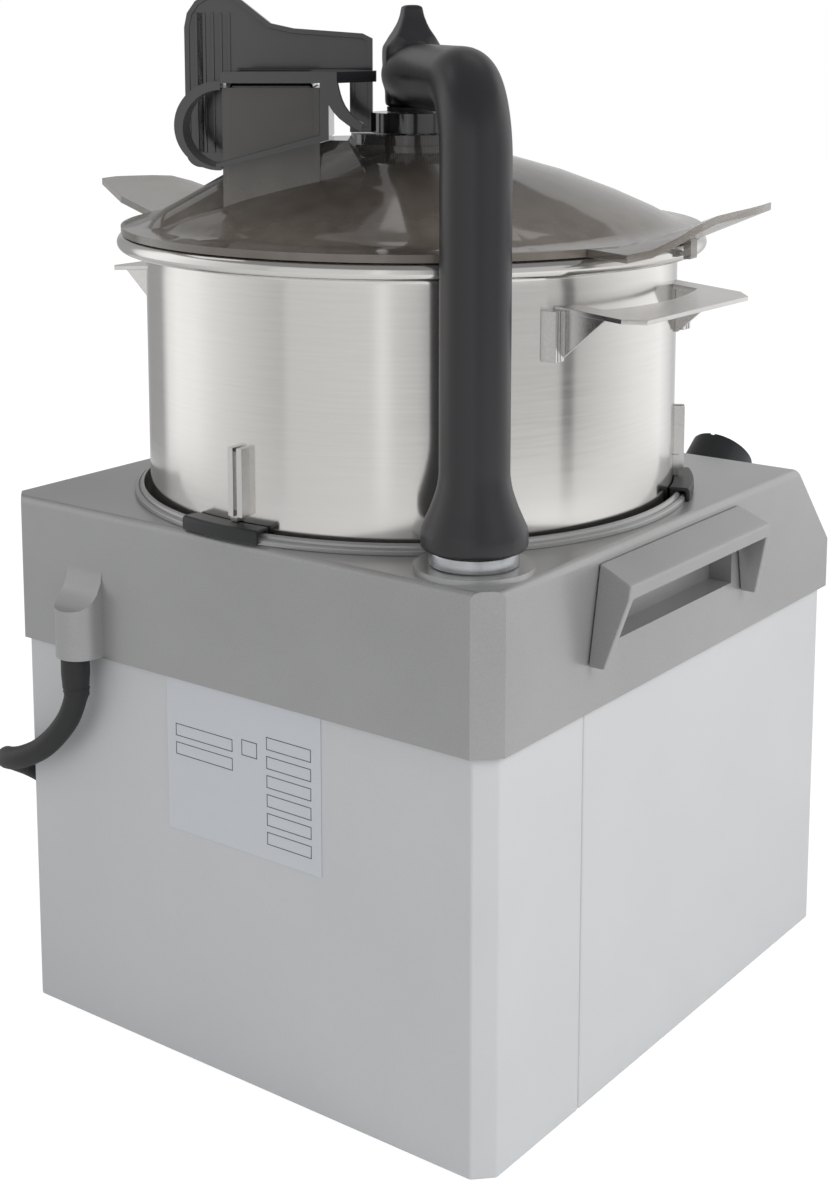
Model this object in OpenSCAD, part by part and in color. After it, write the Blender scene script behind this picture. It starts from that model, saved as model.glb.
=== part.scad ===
// Six-litre vertical cutter mixer on a square base: bowl, lid, scraper, knife, safety arm and motor.
// Origin on the floor at the middle of the machine's footprint, +Z up, control side towards -Y.

/* [Base] */
// Distance from the bowl's wall to the covers' front face
front_room = 52.9; // [48:0.1:60]
// Height of the feet below the base
foot_h = 8; // [6:0.5:12]
// Radius of each foot
foot_r = 13.5; // [12:0.5:18]
// Distance from the base's edge to a foot's centre
foot_inset = 22; // [19:0.5:30]
// Height of the sheet-metal covers
cover_h = 187.5; // [170:0.5:200]
// Thickness of the sheet-metal covers
cover_t = 2; // [1.5:0.1:2.5]
// Leg of the bevel on the covers' upright corners
cover_bevel = 8.3; // [6:0.1:12]
// Distance from the rear face to the seam between the covers
seam_back = 73; // [60:1:90]
// Thickness of the bottom plate
plate_t = 2; // [1.5:0.1:3]

/* [Top housing] */
// Height of the cast top housing
cast_h = 70.5; // [62:0.5:76]
// Distance that the housing stands out past the covers at the sides
cast_lip = 3; // [2:0.1:4]
// Wall of the cast housing
cast_t = 4; // [3:0.1:5]
// Leg of the bevel on the housing's upright corners
cast_bevel = 10.4; // [8:0.1:14]
// Depth of the sloping front, measured along Y
slope_d = 49; // [40:1:56]
// Drop of the sloping front
slope_h = 56.4; // [48:0.2:60]
// Radius of the housing's outer edges
cast_edge = 3.5; // [2:0.1:5]
// Clearance between the bowl's wall and the well that takes it
well_gap = 3.2; // [2:0.1:5]
// Depth of the well below the housing's top
well_deep = 10; // [6:0.5:14]
// Width of the raised ring round the well
ring_w = 4.6; // [4:0.1:6]
// Height of the raised ring
ring_h = 4.5; // [3:0.1:6]
// Radius of the tower that the motor shaft comes up through
tower_r = 18; // [16:0.5:19]
// Height of that tower above the well's floor
tower_h = 60; // [50:1:64]

/* [Side grips] */
// Length of each moulded side grip along Y
grip_l = 146; // [130:1:160]
// Distance that the grip stands out from the housing's side
grip_out = 16.5; // [14:0.5:20]
// Height of the grip
grip_h = 44; // [38:0.5:48]
// Wall of the grip
grip_t = 4; // [3:0.1:5]
// Depth of the finger pocket behind the grip
pocket_deep = 12; // [8:0.5:14]

/* [Bowl] */
// Outer radius of the bowl's wall
bowl_r = 128.8; // [126:0.1:130]
// Thickness of the bowl's sheet
bowl_t = 1.5; // [1.2:0.1:2]
// Height of the bowl to the top of its rim
bowl_h = 136.3; // [126:0.1:146]
// Distance that the rolled rim stands out from the bowl's wall
rim_out = 13.7; // [11:0.1:14.2]
// Radius of the roll
roll_r = 3.9; // [3:0.1:4.5]
// Inner radius of the bowl's centre tube
tube_r = 21; // [20:0.1:22]
// Height of the centre tube
tube_h = 66; // [63:1:72]

/* [Bowl handles] */
// Distance of the handles' plates below the bowl's rim
handle_down = 24.3; // [18.3:0.1:36.3]
// Distance from the bowl's wall to a handle's outer edge
handle_out = 30.2; // [26:0.2:35]
// Length of a handle along Y
handle_l = 108; // [90:1:120]
// Thickness of the handle's sheet
handle_t = 2; // [1.5:0.1:3]
// Width of the handle's bar
handle_bar = 18; // [14:0.5:19]
// Depth of the gussets below the plate
gusset_h = 25; // [18:0.5:30]

/* [Lid] */
// Distance that the lid's brim stays inside the bowl's rim
brim_in = 2; // [1.5:0.1:4]
// Thickness of the lid
lid_t = 3.5; // [2.5:0.1:4]
// Rise of the dome from the brim to the hub
dome_rise = 35; // [28:0.5:40]
// Outer radius of the hub collar
collar_r = 33; // [30:0.5:36]
// Height of the hub collar
collar_h = 9.5; // [8:0.5:12]
// Distance that the lid's wings stand out past its brim
wing_out = 36.5; // [28:0.5:40]
// Rise of a wing's outer edge
wing_rise = 16; // [8:0.5:20]

/* [Feed chute and cup] */
// Angle of the chute and the scraper's lever round the bowl's axis
feed_ang = 36.4; // [30:0.2:40]
// Distance from the bowl's axis to the chute's near wall along the lever
chute_in = 41; // [38:1:44]
// Distance from the lever's plane to the chute's centre
chute_o = 40; // [38:1:44]
// Width of the chute along the lever
chute_w = 44; // [38:1:46]
// Depth of the chute across the lever
chute_d = 46; // [40:1:48]
// Wall of the chute
chute_t = 2.5; // [2:0.1:3]
// Thickness of the cup's wall
cup_t = 2; // [1.5:0.1:3]
// Travel of the cup when it is lifted out
cup_lift = 70; // [50:1:90]
// Radius of the cup's loop handle
loop_r = 20; // [18:0.5:21]
// Width of the loop handle's strap
loop_w = 26; // [16:1:28]

/* [Scraper] */
// Reach of the lever from the bowl's axis
lever_reach = 109; // [100:1:114]
// Thickness of the lever
lever_t = 8; // [6:0.5:9]
// Height of the paddle's top above the lever's foot
paddle_rise = 67; // [60:0.5:72]
// Radius of the paddle's rounded top
paddle_r = 17; // [15:0.5:18]
// Radius of the scraper's shaft
scraper_shaft_r = 10; // [8:0.5:11]
// Thickness of the wiping blades
wiper_t = 4; // [3:0.5:6]

/* [Knife] */
// Clearance between the knife's tips and the bowl's outer face
knife_room = 18.8; // [17.8:0.2:28]
// Thickness of the blades
blade_t = 3; // [2:0.1:4]
// Width of a blade at its middle
blade_w = 22; // [16:0.5:26]
// Outer radius of the knife's hub
knife_hub_r = 30; // [28:0.5:32]
// Height of the upper blades above the lower ones
blade_step = 36; // [28:1:44]

/* [Safety arm] */
// Distance from the housing's side and rear faces to the arm's post
arm_inset = 28.4; // [27.5:0.1:30]
// Distance from the bowl's wall to the arm's post
arm_gap = 29.57; // [29:0.01:36]
// Angle between the arm and the X direction
arm_ang = 43.64; // [40:0.01:50]
// Outer radius of the arm's tube
arm_r = 14.9; // [14:0.1:15]
// Height of the arm's tube axis above the scraper lever's cap
arm_over = 18.1; // [15:0.1:23]
// Radius of the arm's bend at the middle of its tube
arm_bend = 32; // [26:1:40]
// Radius of the flare at the arm's foot
flare_r = 22.7; // [21:0.1:23]
// Height of the straight band of the flare
flare_band = 8; // [6:0.5:10]
// Height of the flare's cone
flare_cone = 23; // [18:0.5:28]
// Height of the thumb tab on the arm's end
tab_h = 20; // [14:0.5:24]
// Radius of the arm's steel shaft
arm_shaft_r = 9; // [8:0.5:10]

/* [Controls] */
// Distance from the housing's left side to the control knob's axis
knob_side = 63.011; // [55:0.001:70]
// Radius of the knob
knob_r = 19; // [16:0.5:22]
// Height of the knob
knob_h = 24; // [18:0.5:26]

/* [Motor] */
// Outer radius of the stator
stator_r = 68; // [62:0.5:72]
// Height of the stator's core
stator_h = 100; // [80:1:110]
// Radius of the motor's shaft
shaft_r = 9; // [8:0.5:10]
// Outer radius of the ball bearings
bearing_r = 20; // [17.5:0.5:21]

/* [Mains lead] */
// Diameter of the lead
lead_d = 11; // [8:0.5:11]
// Distance from the covers' side to the lead's entry
lead_in = 50.3; // [45:0.1:60]
// Radius of the half-round lead housing
house_r = 11.5; // [10:0.1:13]
// Height of the lead housing
house_h = 42; // [36:0.5:48]

/* [Hidden] */
$fn = 96;
// Clearance between parts that lie side by side
gap = 0.3;
// Radial clearance of a turning shaft
run = 0.05;
// Overrun of a cut past the face that it opens
over = 1;
// Sides of small round details
small_fn = 32;
// Facets on a rounded corner of an outline
arc_n = 6;

// The base's width and depth follow the bowl, the arm's post beside it and the room in front
arm_len = bowl_r + arm_gap;
base_w = 2 * (arm_len * cos(arm_ang) + arm_inset - cast_lip);
base_back = arm_len * sin(arm_ang) + arm_inset - cast_lip;
base_d = base_back + bowl_r + front_room;
axis_back = base_d / 2 - base_back;
well_r = bowl_r + well_gap;
rim_r = bowl_r + rim_out;
brim_r = rim_r - brim_in;
handle_reach = bowl_r + handle_out;
knife_r = bowl_r - knife_room;
chute_s = chute_in + chute_w / 2;
lead_x = base_w / 2 - lead_in;

base_z = foot_h;
cast_z = base_z + cover_h;
top_z = cast_z + cast_h;
cast_w = base_w + 2 * cast_lip;
knob_x = cast_w / 2 - knob_side;
cast_rear = base_d / 2 + cast_lip;
cast_front_extra = 2.5;
cast_front = -base_d / 2 - cast_lip - cast_front_extra;
slope_top_y = cast_front + slope_d;
slope_ang = atan2(slope_h, slope_d);
house_out = 15.5;
// Lead housing at the rear and knob at the front give the middle of the footprint
knob_t = 30;
knob_front = slope_top_y - knob_t * cos(slope_ang) - knob_h * sin(slope_ang) - knob_r * cos(slope_ang);
cy = -(cast_rear + house_out + min(knob_front, cast_front)) / 2;
ay = cy + axis_back;
well_z = top_z - well_deep;
well_floor = 4;

bowl_z = well_z;
rim_z = bowl_z + bowl_h;
handle_z = bowl_h - handle_down;
bowl_in = bowl_r - bowl_t;
bowl_floor = bowl_z + bowl_t;
brim_z = rim_z + gap;
hub_z = brim_z + lid_t + dome_rise;
collar_z = hub_z - 3 * lid_t / 7;
cap_z = collar_z + collar_h + gap;
cap_h = 9.5;
cap_r = 20;
cap_top = cap_z + cap_h;
arm_x = -(cast_w / 2 - arm_inset);
arm_y = cy + cast_rear - arm_inset;
arm_dir = -arm_ang;
arm_z = cap_top + arm_over;

// Outline with bevelled corners from x = -hx to hx and y = y0 to y1
function bevelled(hx, y0, y1, c) = [
  [-hx + c, y0], [hx - c, y0], [hx, y0 + c], [hx, y1 - c],
  [hx - c, y1], [-hx + c, y1], [-hx, y1 - c], [-hx, y0 + c]
];
// Points of an arc about a centre
function arc(c, r, a0, a1) = [for (i = [0:arc_n]) let (a = a0 + (a1 - a0) * i / arc_n)
  [c[0] + r * cos(a), c[1] + r * sin(a)]];

module at_base() {
  translate([0, cy, 0]) children();
}
module at_axis() {
  translate([0, ay, 0]) children();
}
module at_arm() {
  translate([arm_x, arm_y, 0]) rotate([0, 0, arm_dir]) children();
}
module at_feed() {
  translate([0, ay, 0]) rotate([0, 0, feed_ang]) children();
}
// Frame on the sloping front: x across, y up the slope from its top edge, z outwards
module at_slope() {
  translate([0, cy + slope_top_y, top_z]) rotate([slope_ang, 0, 0]) children();
}
module both_ends() {
  children();
  rotate([0, 0, 180]) children();
}
module corners(dx, dy) {
  for (sx = [-1, 1], sy = [-1, 1]) translate([sx * dx, sy * dy, 0]) children();
}
// Upright ring
module ring(r_out, r_in, z0, z1) {
  translate([0, 0, z0]) difference() {
    cylinder(r = r_out, h = z1 - z0);
    translate([0, 0, -over]) cylinder(r = r_in, h = z1 - z0 + 2 * over);
  }
}

// Base
foot_dx = base_w / 2 - foot_inset;
foot_dy = base_d / 2 - foot_inset;
foot_screw_r = 3;
foot_recess = 3;
foot_head_r = 5.5;
foot_taper = 2;
plate_inset = cover_t + gap;

module feet() color("#1c1c1d") at_base() corners(foot_dx, foot_dy) difference() {
  rotate_extrude() polygon([
    [0, 0], [foot_r - 2 * foot_taper, 0], [foot_r - foot_taper, foot_taper / 2],
    [foot_r, foot_h - foot_taper], [foot_r, foot_h], [0, foot_h]
  ]);
  translate([0, 0, -over]) cylinder(r = foot_head_r + gap, h = foot_recess + over);
  translate([0, 0, -over]) cylinder(r = foot_screw_r + gap, h = foot_h + 2 * over);
}
module foot_screws() color("#b8babd") at_base() corners(foot_dx, foot_dy) union() {
  translate([0, 0, foot_recess - foot_screw_head]) cylinder(r = foot_head_r, h = foot_screw_head, $fn = small_fn);
  translate([0, 0, foot_recess]) cylinder(r = foot_screw_r, h = foot_h - foot_recess + plate_t + foot_screw_end);
}
foot_screw_head = 2.4;
foot_screw_end = 4;

vent_n = 7;
vent_w = 4;
vent_l = 60;
vent_pitch = 11;
module bottom_plate() color("#a9acae") at_base() difference() {
  translate([0, 0, base_z]) linear_extrude(plate_t)
    polygon(bevelled(base_w / 2 - plate_inset, -base_d / 2 + plate_inset, base_d / 2 - plate_inset, cover_bevel));
  translate([0, 0, base_z - over]) corners(foot_dx, foot_dy) cylinder(r = foot_screw_r + gap, h = plate_t + 2 * over);
  for (i = [0:vent_n - 1])
    translate([-vent_l / 2, axis_back + (i - (vent_n - 1) / 2) * vent_pitch - vent_w / 2, base_z - over])
      cube([vent_l, vent_w, plate_t + 2 * over]);
}
// Shell of both covers, cut to the part on one side of the seam
module cover_shell(y0, y1) {
  intersection() {
    translate([0, 0, base_z]) linear_extrude(cover_h - gap) difference() {
      polygon(bevelled(base_w / 2, -base_d / 2, base_d / 2, cover_bevel));
      polygon(bevelled(base_w / 2 - cover_t, -base_d / 2 + cover_t, base_d / 2 - cover_t,
        cover_bevel - cover_t * (2 - sqrt(2))));
    }
    translate([-base_w, y0, 0]) cube([2 * base_w, y1 - y0, top_z]);
  }
}
seam_y = base_d / 2 - seam_back;
module rear_cover() color("#c4c6ca") at_base() cover_shell(seam_y + gap / 2, base_d);
module front_cover() color("#c9cbce") at_base() cover_shell(-base_d, seam_y - gap / 2);

post_r = 6;
post_side = 20;
post_rear = 58.2;
post_front = 43.2;
post_x = base_w / 2 - post_side;
post_rear_y = base_d / 2 - post_rear;
post_front_y = -base_d / 2 + post_front;
post_boss_r = 9;
post_boss_z = cast_z + 5;
module at_posts() {
  for (s = [-1, 1], y = [post_rear_y, post_front_y]) translate([s * post_x, y, 0]) children();
}
module tie_posts() color("#9fa2a5") at_base() at_posts()
  translate([0, 0, base_z + plate_t]) cylinder(r = post_r, h = post_boss_z - base_z - plate_t, $fn = small_fn);

// Top housing
function side_profile(w) = let (
  r = cast_edge, y1 = cast_rear - w, yf = cast_front + w, zt = top_z - w,
  ys = slope_top_y + w * tan(slope_ang / 2), t = r * tan(slope_ang / 2),
  zs = top_z - slope_h - w * tan((90 - slope_ang) / 2), t2 = r * tan((90 - slope_ang) / 2)
) concat(
  [[yf, cast_z - (w > 0 ? over : 0)], [y1, cast_z - (w > 0 ? over : 0)]],
  arc([y1 - r, zt - r], r, 0, 90),
  arc([ys + t, zt - r], r, 90, 90 + slope_ang),
  arc([yf + r, zs - t2], r, 90 + slope_ang, 180)
);
function front_profile(w) = let (r = cast_edge, x = cast_w / 2 - w, zt = top_z - w) concat(
  [[-x, cast_z - over], [x, cast_z - over]], arc([x - r, zt - r], r, 0, 90), arc([-x + r, zt - r], r, 90, 180));
module cast_block(w) {
  intersection() {
    rotate([90, 0, 90]) translate([0, 0, -cast_w]) linear_extrude(2 * cast_w) polygon(side_profile(w));
    rotate([90, 0, 0]) translate([0, 0, -cast_w]) linear_extrude(2 * cast_w) polygon(front_profile(w));
    translate([0, 0, cast_z - over]) linear_extrude(cast_h + 2 * over)
      polygon(bevelled(cast_w / 2 - w, cast_front + w, cast_rear - w, cast_bevel - w * (2 - sqrt(2))));
  }
}
grip_mid = axis_back - 8.3;
grip_y0 = grip_mid - grip_l / 2;
grip_y1 = grip_mid + grip_l / 2;
grip_top = top_z - 5;
grip_low = grip_top - grip_h;
pocket_y0 = grip_y0 + 13.8;
pocket_y1 = grip_y1 - 21.7;
pocket_z0 = grip_low + 6;
pocket_z1 = grip_top - 7;
arm_lip_r = 25.6;
arm_lip_h = 2.5;
arm_boss_r = 17;
arm_boss_h = 42;
bush_r = 12;
shaft_way = 3;
motor_screw_ring = 54;
motor_screw_r = 3;
knob_shaft_r = 4;
arm_dx = arm_x;
arm_dy = arm_y - cy;
seal_h = 8;
seal_r = 14;

module lead_house(grow) {
  intersection() {
    union() {
      translate([lead_x, cast_rear + house_out - house_r, cast_z + over]) cylinder(r = house_r, h = house_h + over);
      translate([lead_x - house_r, cast_rear - cast_t / 2, cast_z + over])
        cube([2 * house_r, house_out - house_r + cast_t / 2, house_h + over]);
    }
    // Tongue-shaped top that runs down to the outer face
    rotate([90, 0, 90]) linear_extrude(2 * base_w) polygon(concat(
      [[0, cast_z], [cast_rear + 2 * house_out, cast_z], [cast_rear + 2 * house_out, cast_z + house_h / 2]],
      arc([cast_rear + house_h * tongue_share, cast_z + house_h], house_h * tongue_share, -75, -180),
      [[0, cast_z + house_h]]
    ));
  }
}
tongue_share = 0.42;
module top_housing() color("#9a9a9b") difference() {
  union() {
    at_base() difference() {
      cast_block(0);
      difference() {
        cast_block(cast_t);
        // Walls of the finger pockets and the bosses stay inside the hollow
        for (s = [-1, 1]) translate([s > 0 ? cast_w / 2 - pocket_deep - cast_t : -cast_w / 2, 0, 0])
          translate([0, pocket_y0 - cast_t, pocket_z0 - cast_t])
            cube([pocket_deep + cast_t, pocket_y1 - pocket_y0 + 2 * cast_t, pocket_z1 - pocket_z0 + 2 * cast_t]);
        translate([0, 0, post_boss_z]) at_posts() cylinder(r = post_boss_r, h = cast_h);
        translate([arm_dx, arm_dy, top_z - arm_boss_h]) cylinder(r = arm_boss_r, h = arm_boss_h);
      }
    }
    at_base() lead_house();
    translate([arm_x, arm_y, top_z - over]) cylinder(r = arm_lip_r, h = arm_lip_h + over);
  }
  at_axis() translate([0, 0, well_z - well_floor - gap]) cylinder(r = well_r + seat_t + gap, h = cast_h);
  at_axis() translate([0, 0, top_z]) cylinder(r = well_r + ring_w + gap, h = cast_h);
  translate([arm_x, arm_y, cast_z]) cylinder(r = bush_r, h = cast_h + arm_lip_h + over);
  at_base() for (s = [-1, 1]) translate([s * (cast_w / 2 - pocket_deep / 2 + over / 2), 0, 0])
    translate([-(pocket_deep + over) / 2, pocket_y0, pocket_z0])
      cube([pocket_deep + over, pocket_y1 - pocket_y0, pocket_z1 - pocket_z0]);
  at_base() translate([lead_x, cast_rear + gland_out, cast_z - over]) cylinder(r = gland_r, h = gland_in + over);
  at_slope() translate([-knob_x, -knob_t, -2 * cast_t]) cylinder(r = knob_shaft_r + run, h = 4 * cast_t);
}
gland_out = 7.4;
gland_r = 6.9;
gland_in = 16;

// Seat for the bowl: its grooved ring lies on the housing, and its floor carries the tower and the motor
seat_t = 2.5;
module bowl_seat() color("#9a9a9b") at_axis() difference() {
  rotate_extrude() polygon([
    [shaft_r + shaft_way, well_z - well_floor], [well_r + seat_t, well_z - well_floor], [well_r + seat_t, top_z],
    [well_r + ring_w, top_z], [well_r + ring_w, top_z + ring_h / 2],
    [well_r + ring_w * 0.62, top_z + ring_h * 0.7], [well_r + ring_w * 0.5, top_z + ring_h * 0.45],
    [well_r + ring_w * 0.38, top_z + ring_h * 0.85], [well_r + ring_w * 0.2, top_z + ring_h],
    [well_r, top_z + ring_h], [well_r, well_z], [tower_r, well_z], [tower_r, well_z + tower_h],
    [seal_r, well_z + tower_h], [seal_r, well_z + tower_h - seal_h], [shaft_r + shaft_way, well_z + tower_h - seal_h]
  ]);
  for (a = [45:90:315]) rotate([0, 0, a]) translate([motor_screw_ring, 0, well_z - well_floor - over])
    cylinder(r = motor_screw_r + gap, h = well_floor + 2 * over, $fn = small_fn);
}

// Moulded grip: a sloping hood between two legs that splay downwards, open below for the fingers
module grip_block(t, profile) {
  intersection() {
    translate([0, cast_rear, 0]) rotate([90, 0, 0]) linear_extrude(2 * cast_rear) polygon(profile);
    translate([-2 * grip_out, grip_mid, 0]) rotate([90, 0, 90]) linear_extrude(3 * grip_out) polygon([
      [t - grip_l / 2, grip_low - 2 * over], [grip_l / 2 - t, grip_low - 2 * over],
      [grip_l / 2 - t - grip_splay, grip_top + over], [t - grip_l / 2 + grip_splay, grip_top + over]
    ]);
  }
}
module side_grip() color("#9a9a9b") translate([-cast_w / 2 - gap, cy, 0]) difference() {
  grip_block(0, [
    [0, grip_low], [-grip_foot, grip_low], [-grip_out, grip_top - grip_drop - grip_lip],
    [-grip_out, grip_top - grip_drop + grip_foot / 5],
    [-grip_out + grip_foot / 4, grip_top - grip_drop + grip_foot / 3],
    [0, grip_top]
  ]);
  grip_block(grip_t, [
    [over, grip_low - over], [-grip_out - over, grip_low - over], [-grip_out - over, grip_top - grip_drop - grip_lip],
    [-grip_out + grip_t / 2, grip_top - grip_drop - grip_lip],
    [-grip_out + grip_t, grip_top - grip_drop - grip_t / 2],
    [over, grip_top - grip_t]
  ]);
}
grip_drop = 9;
grip_lip = 4;
grip_splay = 9;
grip_foot = 8;
module side_grip_left() side_grip();
module side_grip_right() mirror([1, 0, 0]) side_grip();

// Black clips that straddle the raised ring under the bowl's lugs
clip_share = [91.3, 211.3, 331.3];
clip_arc = 19;
clip_lap = 2.4;
clip_rise = 2.2;
clip_top = top_z + ring_h + clip_rise;
module bowl_clips() color("#1f2022") at_axis() for (a = clip_share) rotate([0, 0, a - clip_arc / 2 - 3])
  rotate_extrude(angle = clip_arc) polygon([
    [bowl_r + gap, top_z - ring_h / 2], [well_r - gap, top_z - ring_h / 2], [well_r - gap, top_z + ring_h + gap],
    [well_r + ring_w + gap, top_z + ring_h + gap], [well_r + ring_w + gap, top_z + gap],
    [well_r + ring_w + clip_lap, top_z + gap], [well_r + ring_w + clip_lap, clip_top - clip_rise / 2],
    [well_r + ring_w + clip_lap - clip_rise / 2, clip_top], [bowl_r + gap, clip_top]
  ]);

label_w = 92;
label_h = 74;
label_x = -6;
label_t = 0.4;
module rear_plate() color("#d4d6d9") at_base()
  translate([label_x - label_w / 2, base_d / 2, cast_z - label_h - gap]) cube([label_w, label_t, label_h]);

// Safety arm
arm_collar_h = 6.5;
collar_top = top_z + arm_lip_h + arm_collar_h;
arm_collar_r = 19;
bush_h = 14;
bush_flange = 2;
module arm_collar() color("#bfc2c5") translate([arm_x, arm_y, 0])
  ring(arm_collar_r, arm_shaft_r + 3 * run, top_z + arm_lip_h, collar_top);
module arm_bushes() color("#d8d5c8") translate([arm_x, arm_y, 0]) {
  ring(bush_r - run / 2, arm_shaft_r + run, top_z + arm_lip_h - bush_h, top_z + arm_lip_h - gap);
  ring(bush_r - run / 2, arm_shaft_r + run, top_z - arm_boss_h + gap, top_z - arm_boss_h + bush_h);
}
flare_z = collar_top + gap;
arm_end_h = 31;
arm_end_r = 15.8;
tab_top_w = 9;
tab_base_w = 27;
tab_top_l = 13;
tab_base_l = 40;
module tab_side(top, base) {
  polygon(concat(
    [[-base / 2, -arm_r * 0.6], [base / 2, -arm_r * 0.6], [base / 2, 0]],
    [for (i = [1:arc_n]) let (u = i / arc_n) [top / 2 + (base - top) / 2 * pow(1 - u, 2), tab_h * u]],
    [for (i = [arc_n:-1:1]) let (u = i / arc_n) [-top / 2 - (base - top) / 2 * pow(1 - u, 2), tab_h * u]],
    [[-base / 2, 0]]
  ));
}
module safety_arm() color("#3b3b3e") at_arm() difference() {
  union() {
    rotate_extrude() polygon([
      [0, flare_z], [flare_r - flare_band / 8, flare_z], [flare_r, flare_z + flare_band / 8],
      [flare_r, flare_z + flare_band], [arm_r + (flare_r - arm_r) * 0.45, flare_z + flare_band + flare_cone * 0.42],
      [arm_r + (flare_r - arm_r) * 0.12, flare_z + flare_band + flare_cone * 0.75],
      [arm_r, flare_z + flare_band + flare_cone], [arm_r, arm_z - arm_bend], [0, arm_z - arm_bend]
    ]);
    translate([arm_bend, 0, arm_z - arm_bend]) rotate([90, 0, 0]) rotate([0, 0, 90])
      rotate_extrude(angle = 90) translate([arm_bend, 0]) circle(r = arm_r);
    translate([arm_bend, 0, arm_z]) rotate([0, 90, 0]) rotate_extrude() polygon(concat(
      [[0, 0], [arm_r, 0]],
      [for (a = [0:10:80]) [arm_r * cos(a), arm_len - arm_bend + arm_r * sin(a)]],
      [[0, arm_len - arm_bend + arm_r]]
    ));
    translate([arm_len, 0, arm_z - arm_end_h / 2]) cylinder(r = arm_pad_r + over, h = arm_end_h / 2);
    // Thumb tab with hollow flanks
    translate([arm_len, 0, arm_z + arm_r - arm_r / 8]) intersection() {
      rotate([90, 0, 90]) translate([0, 0, -tab_base_l]) linear_extrude(2 * tab_base_l) tab_side(tab_top_w, tab_base_w);
      rotate([90, 0, 0]) translate([0, 0, -tab_base_l]) linear_extrude(2 * tab_base_l) tab_side(tab_top_l, tab_base_l);
      translate([0, 0, -arm_end_h]) cylinder(r = arm_end_r, h = 3 * arm_end_h);
    }
  }
  translate([0, 0, flare_z - over]) cylinder(r = arm_shaft_r, h = arm_socket + over);
}
arm_socket = 40;
arm_pad_r = 12;
module arm_pad() color("#1c1c1d") at_arm() translate([arm_len, 0, cap_top + gap])
  cylinder(r = arm_pad_r, h = arm_z - arm_end_h / 2 - cap_top - gap);
cam_h = 7;
cam_z = top_z - arm_boss_h - gap - cam_h;
module arm_shaft() color("#c5c8cb") at_arm() translate([0, 0, cam_z - cam_h / 2])
  cylinder(r = arm_shaft_r, h = flare_z + arm_socket - cam_z + cam_h / 2);
cam_r = 17;
cam_low = 3;
module arm_cam() color("#8f8a6a") at_arm() translate([0, 0, cam_z]) difference() {
  union() {
    cylinder(r = cam_r - cam_low, h = cam_h);
    intersection() {
      cylinder(r = cam_r, h = cam_h);
      translate([0, -cam_r, 0]) cube([2 * cam_r, 2 * cam_r, cam_h]);
    }
  }
  translate([0, 0, -over]) cylinder(r = arm_shaft_r, h = cam_h + 2 * over);
}
// Switch beside the cam, with a sprung plunger that the cam holds in
plunger_r = 2.5;
plunger_l = 10;
plunger_over = 1.5;
switch_l = 26;
switch_w = 20;
switch_t = 12;
switch_bar = 8;
module at_switch() {
  at_arm() translate([cam_r + gap, 0, cam_z + cam_h / 2]) children();
}
module door_switch() color("#26282b") at_switch() difference() {
  union() {
    translate([plunger_l / 2, -switch_w / 2, -switch_t / 2]) cube([switch_l, switch_w, switch_t]);
    translate([plunger_l / 2 + switch_l / 3, -switch_bar / 2, 0])
      cube([switch_bar, switch_bar, well_z - well_floor - cam_z - cam_h / 2]);
  }
  rotate([0, 90, 0]) cylinder(r = plunger_r + run, h = plunger_l + plunger_over + gap);
}
module switch_plunger() color("#c23a2b") at_switch() rotate([0, 90, 0]) cylinder(r = plunger_r, h = plunger_l);

// Controls on the sloping front
panel_w = 150;
panel_l = 54;
panel_t = 0.8;
panel_down = 9;
module control_panel() color("#2b2d30") at_slope() difference() {
  translate([-knob_x - panel_l / 2, -panel_down - panel_l, 0]) cube([panel_w, panel_l, panel_t]);
  translate([-knob_x, -knob_t, -over]) cylinder(r = knob_shaft_r + gap, h = 4 * over);
}
knob_skirt = 3;
knob_bar = 5;
knob_groove_n = 12;
knob_shaft_l = 20;
module control_knob() color("#18191a") at_slope() translate([-knob_x, -knob_t, 0]) union() {
  difference() {
    translate([0, 0, panel_t + gap]) union() {
      cylinder(r = knob_r, h = knob_skirt);
      cylinder(r1 = knob_r - gap * 3, r2 = knob_r - gap * 6, h = knob_h - panel_t - gap);
    }
    for (i = [0:knob_groove_n - 1]) rotate([0, 0, (i + 0.5) * 360 / knob_groove_n])
      translate([knob_r + knob_bar / 4, 0, panel_t + gap + knob_skirt]) cylinder(r = knob_bar / 2, h = knob_h, $fn = small_fn);
    // Pointer groove across the top
    translate([-knob_bar / 4, 0, knob_h - panel_t]) cube([knob_bar / 2, 2 * knob_r, knob_h]);
  }
  translate([0, 0, -knob_shaft_l]) cylinder(r = knob_shaft_r, h = knob_shaft_l + knob_skirt);
}
rotary_w = 36;
rotary_h = 26;
module rotary_switch() color("#3a3d40") at_slope() translate([-knob_x, -knob_t, 0]) difference() {
  translate([-rotary_w / 2, -rotary_w / 2, -cast_t - rotary_h]) cube([rotary_w, rotary_w, rotary_h]);
  translate([0, 0, -knob_shaft_l - gap]) cylinder(r = knob_shaft_r + run, h = knob_shaft_l);
}

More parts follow.
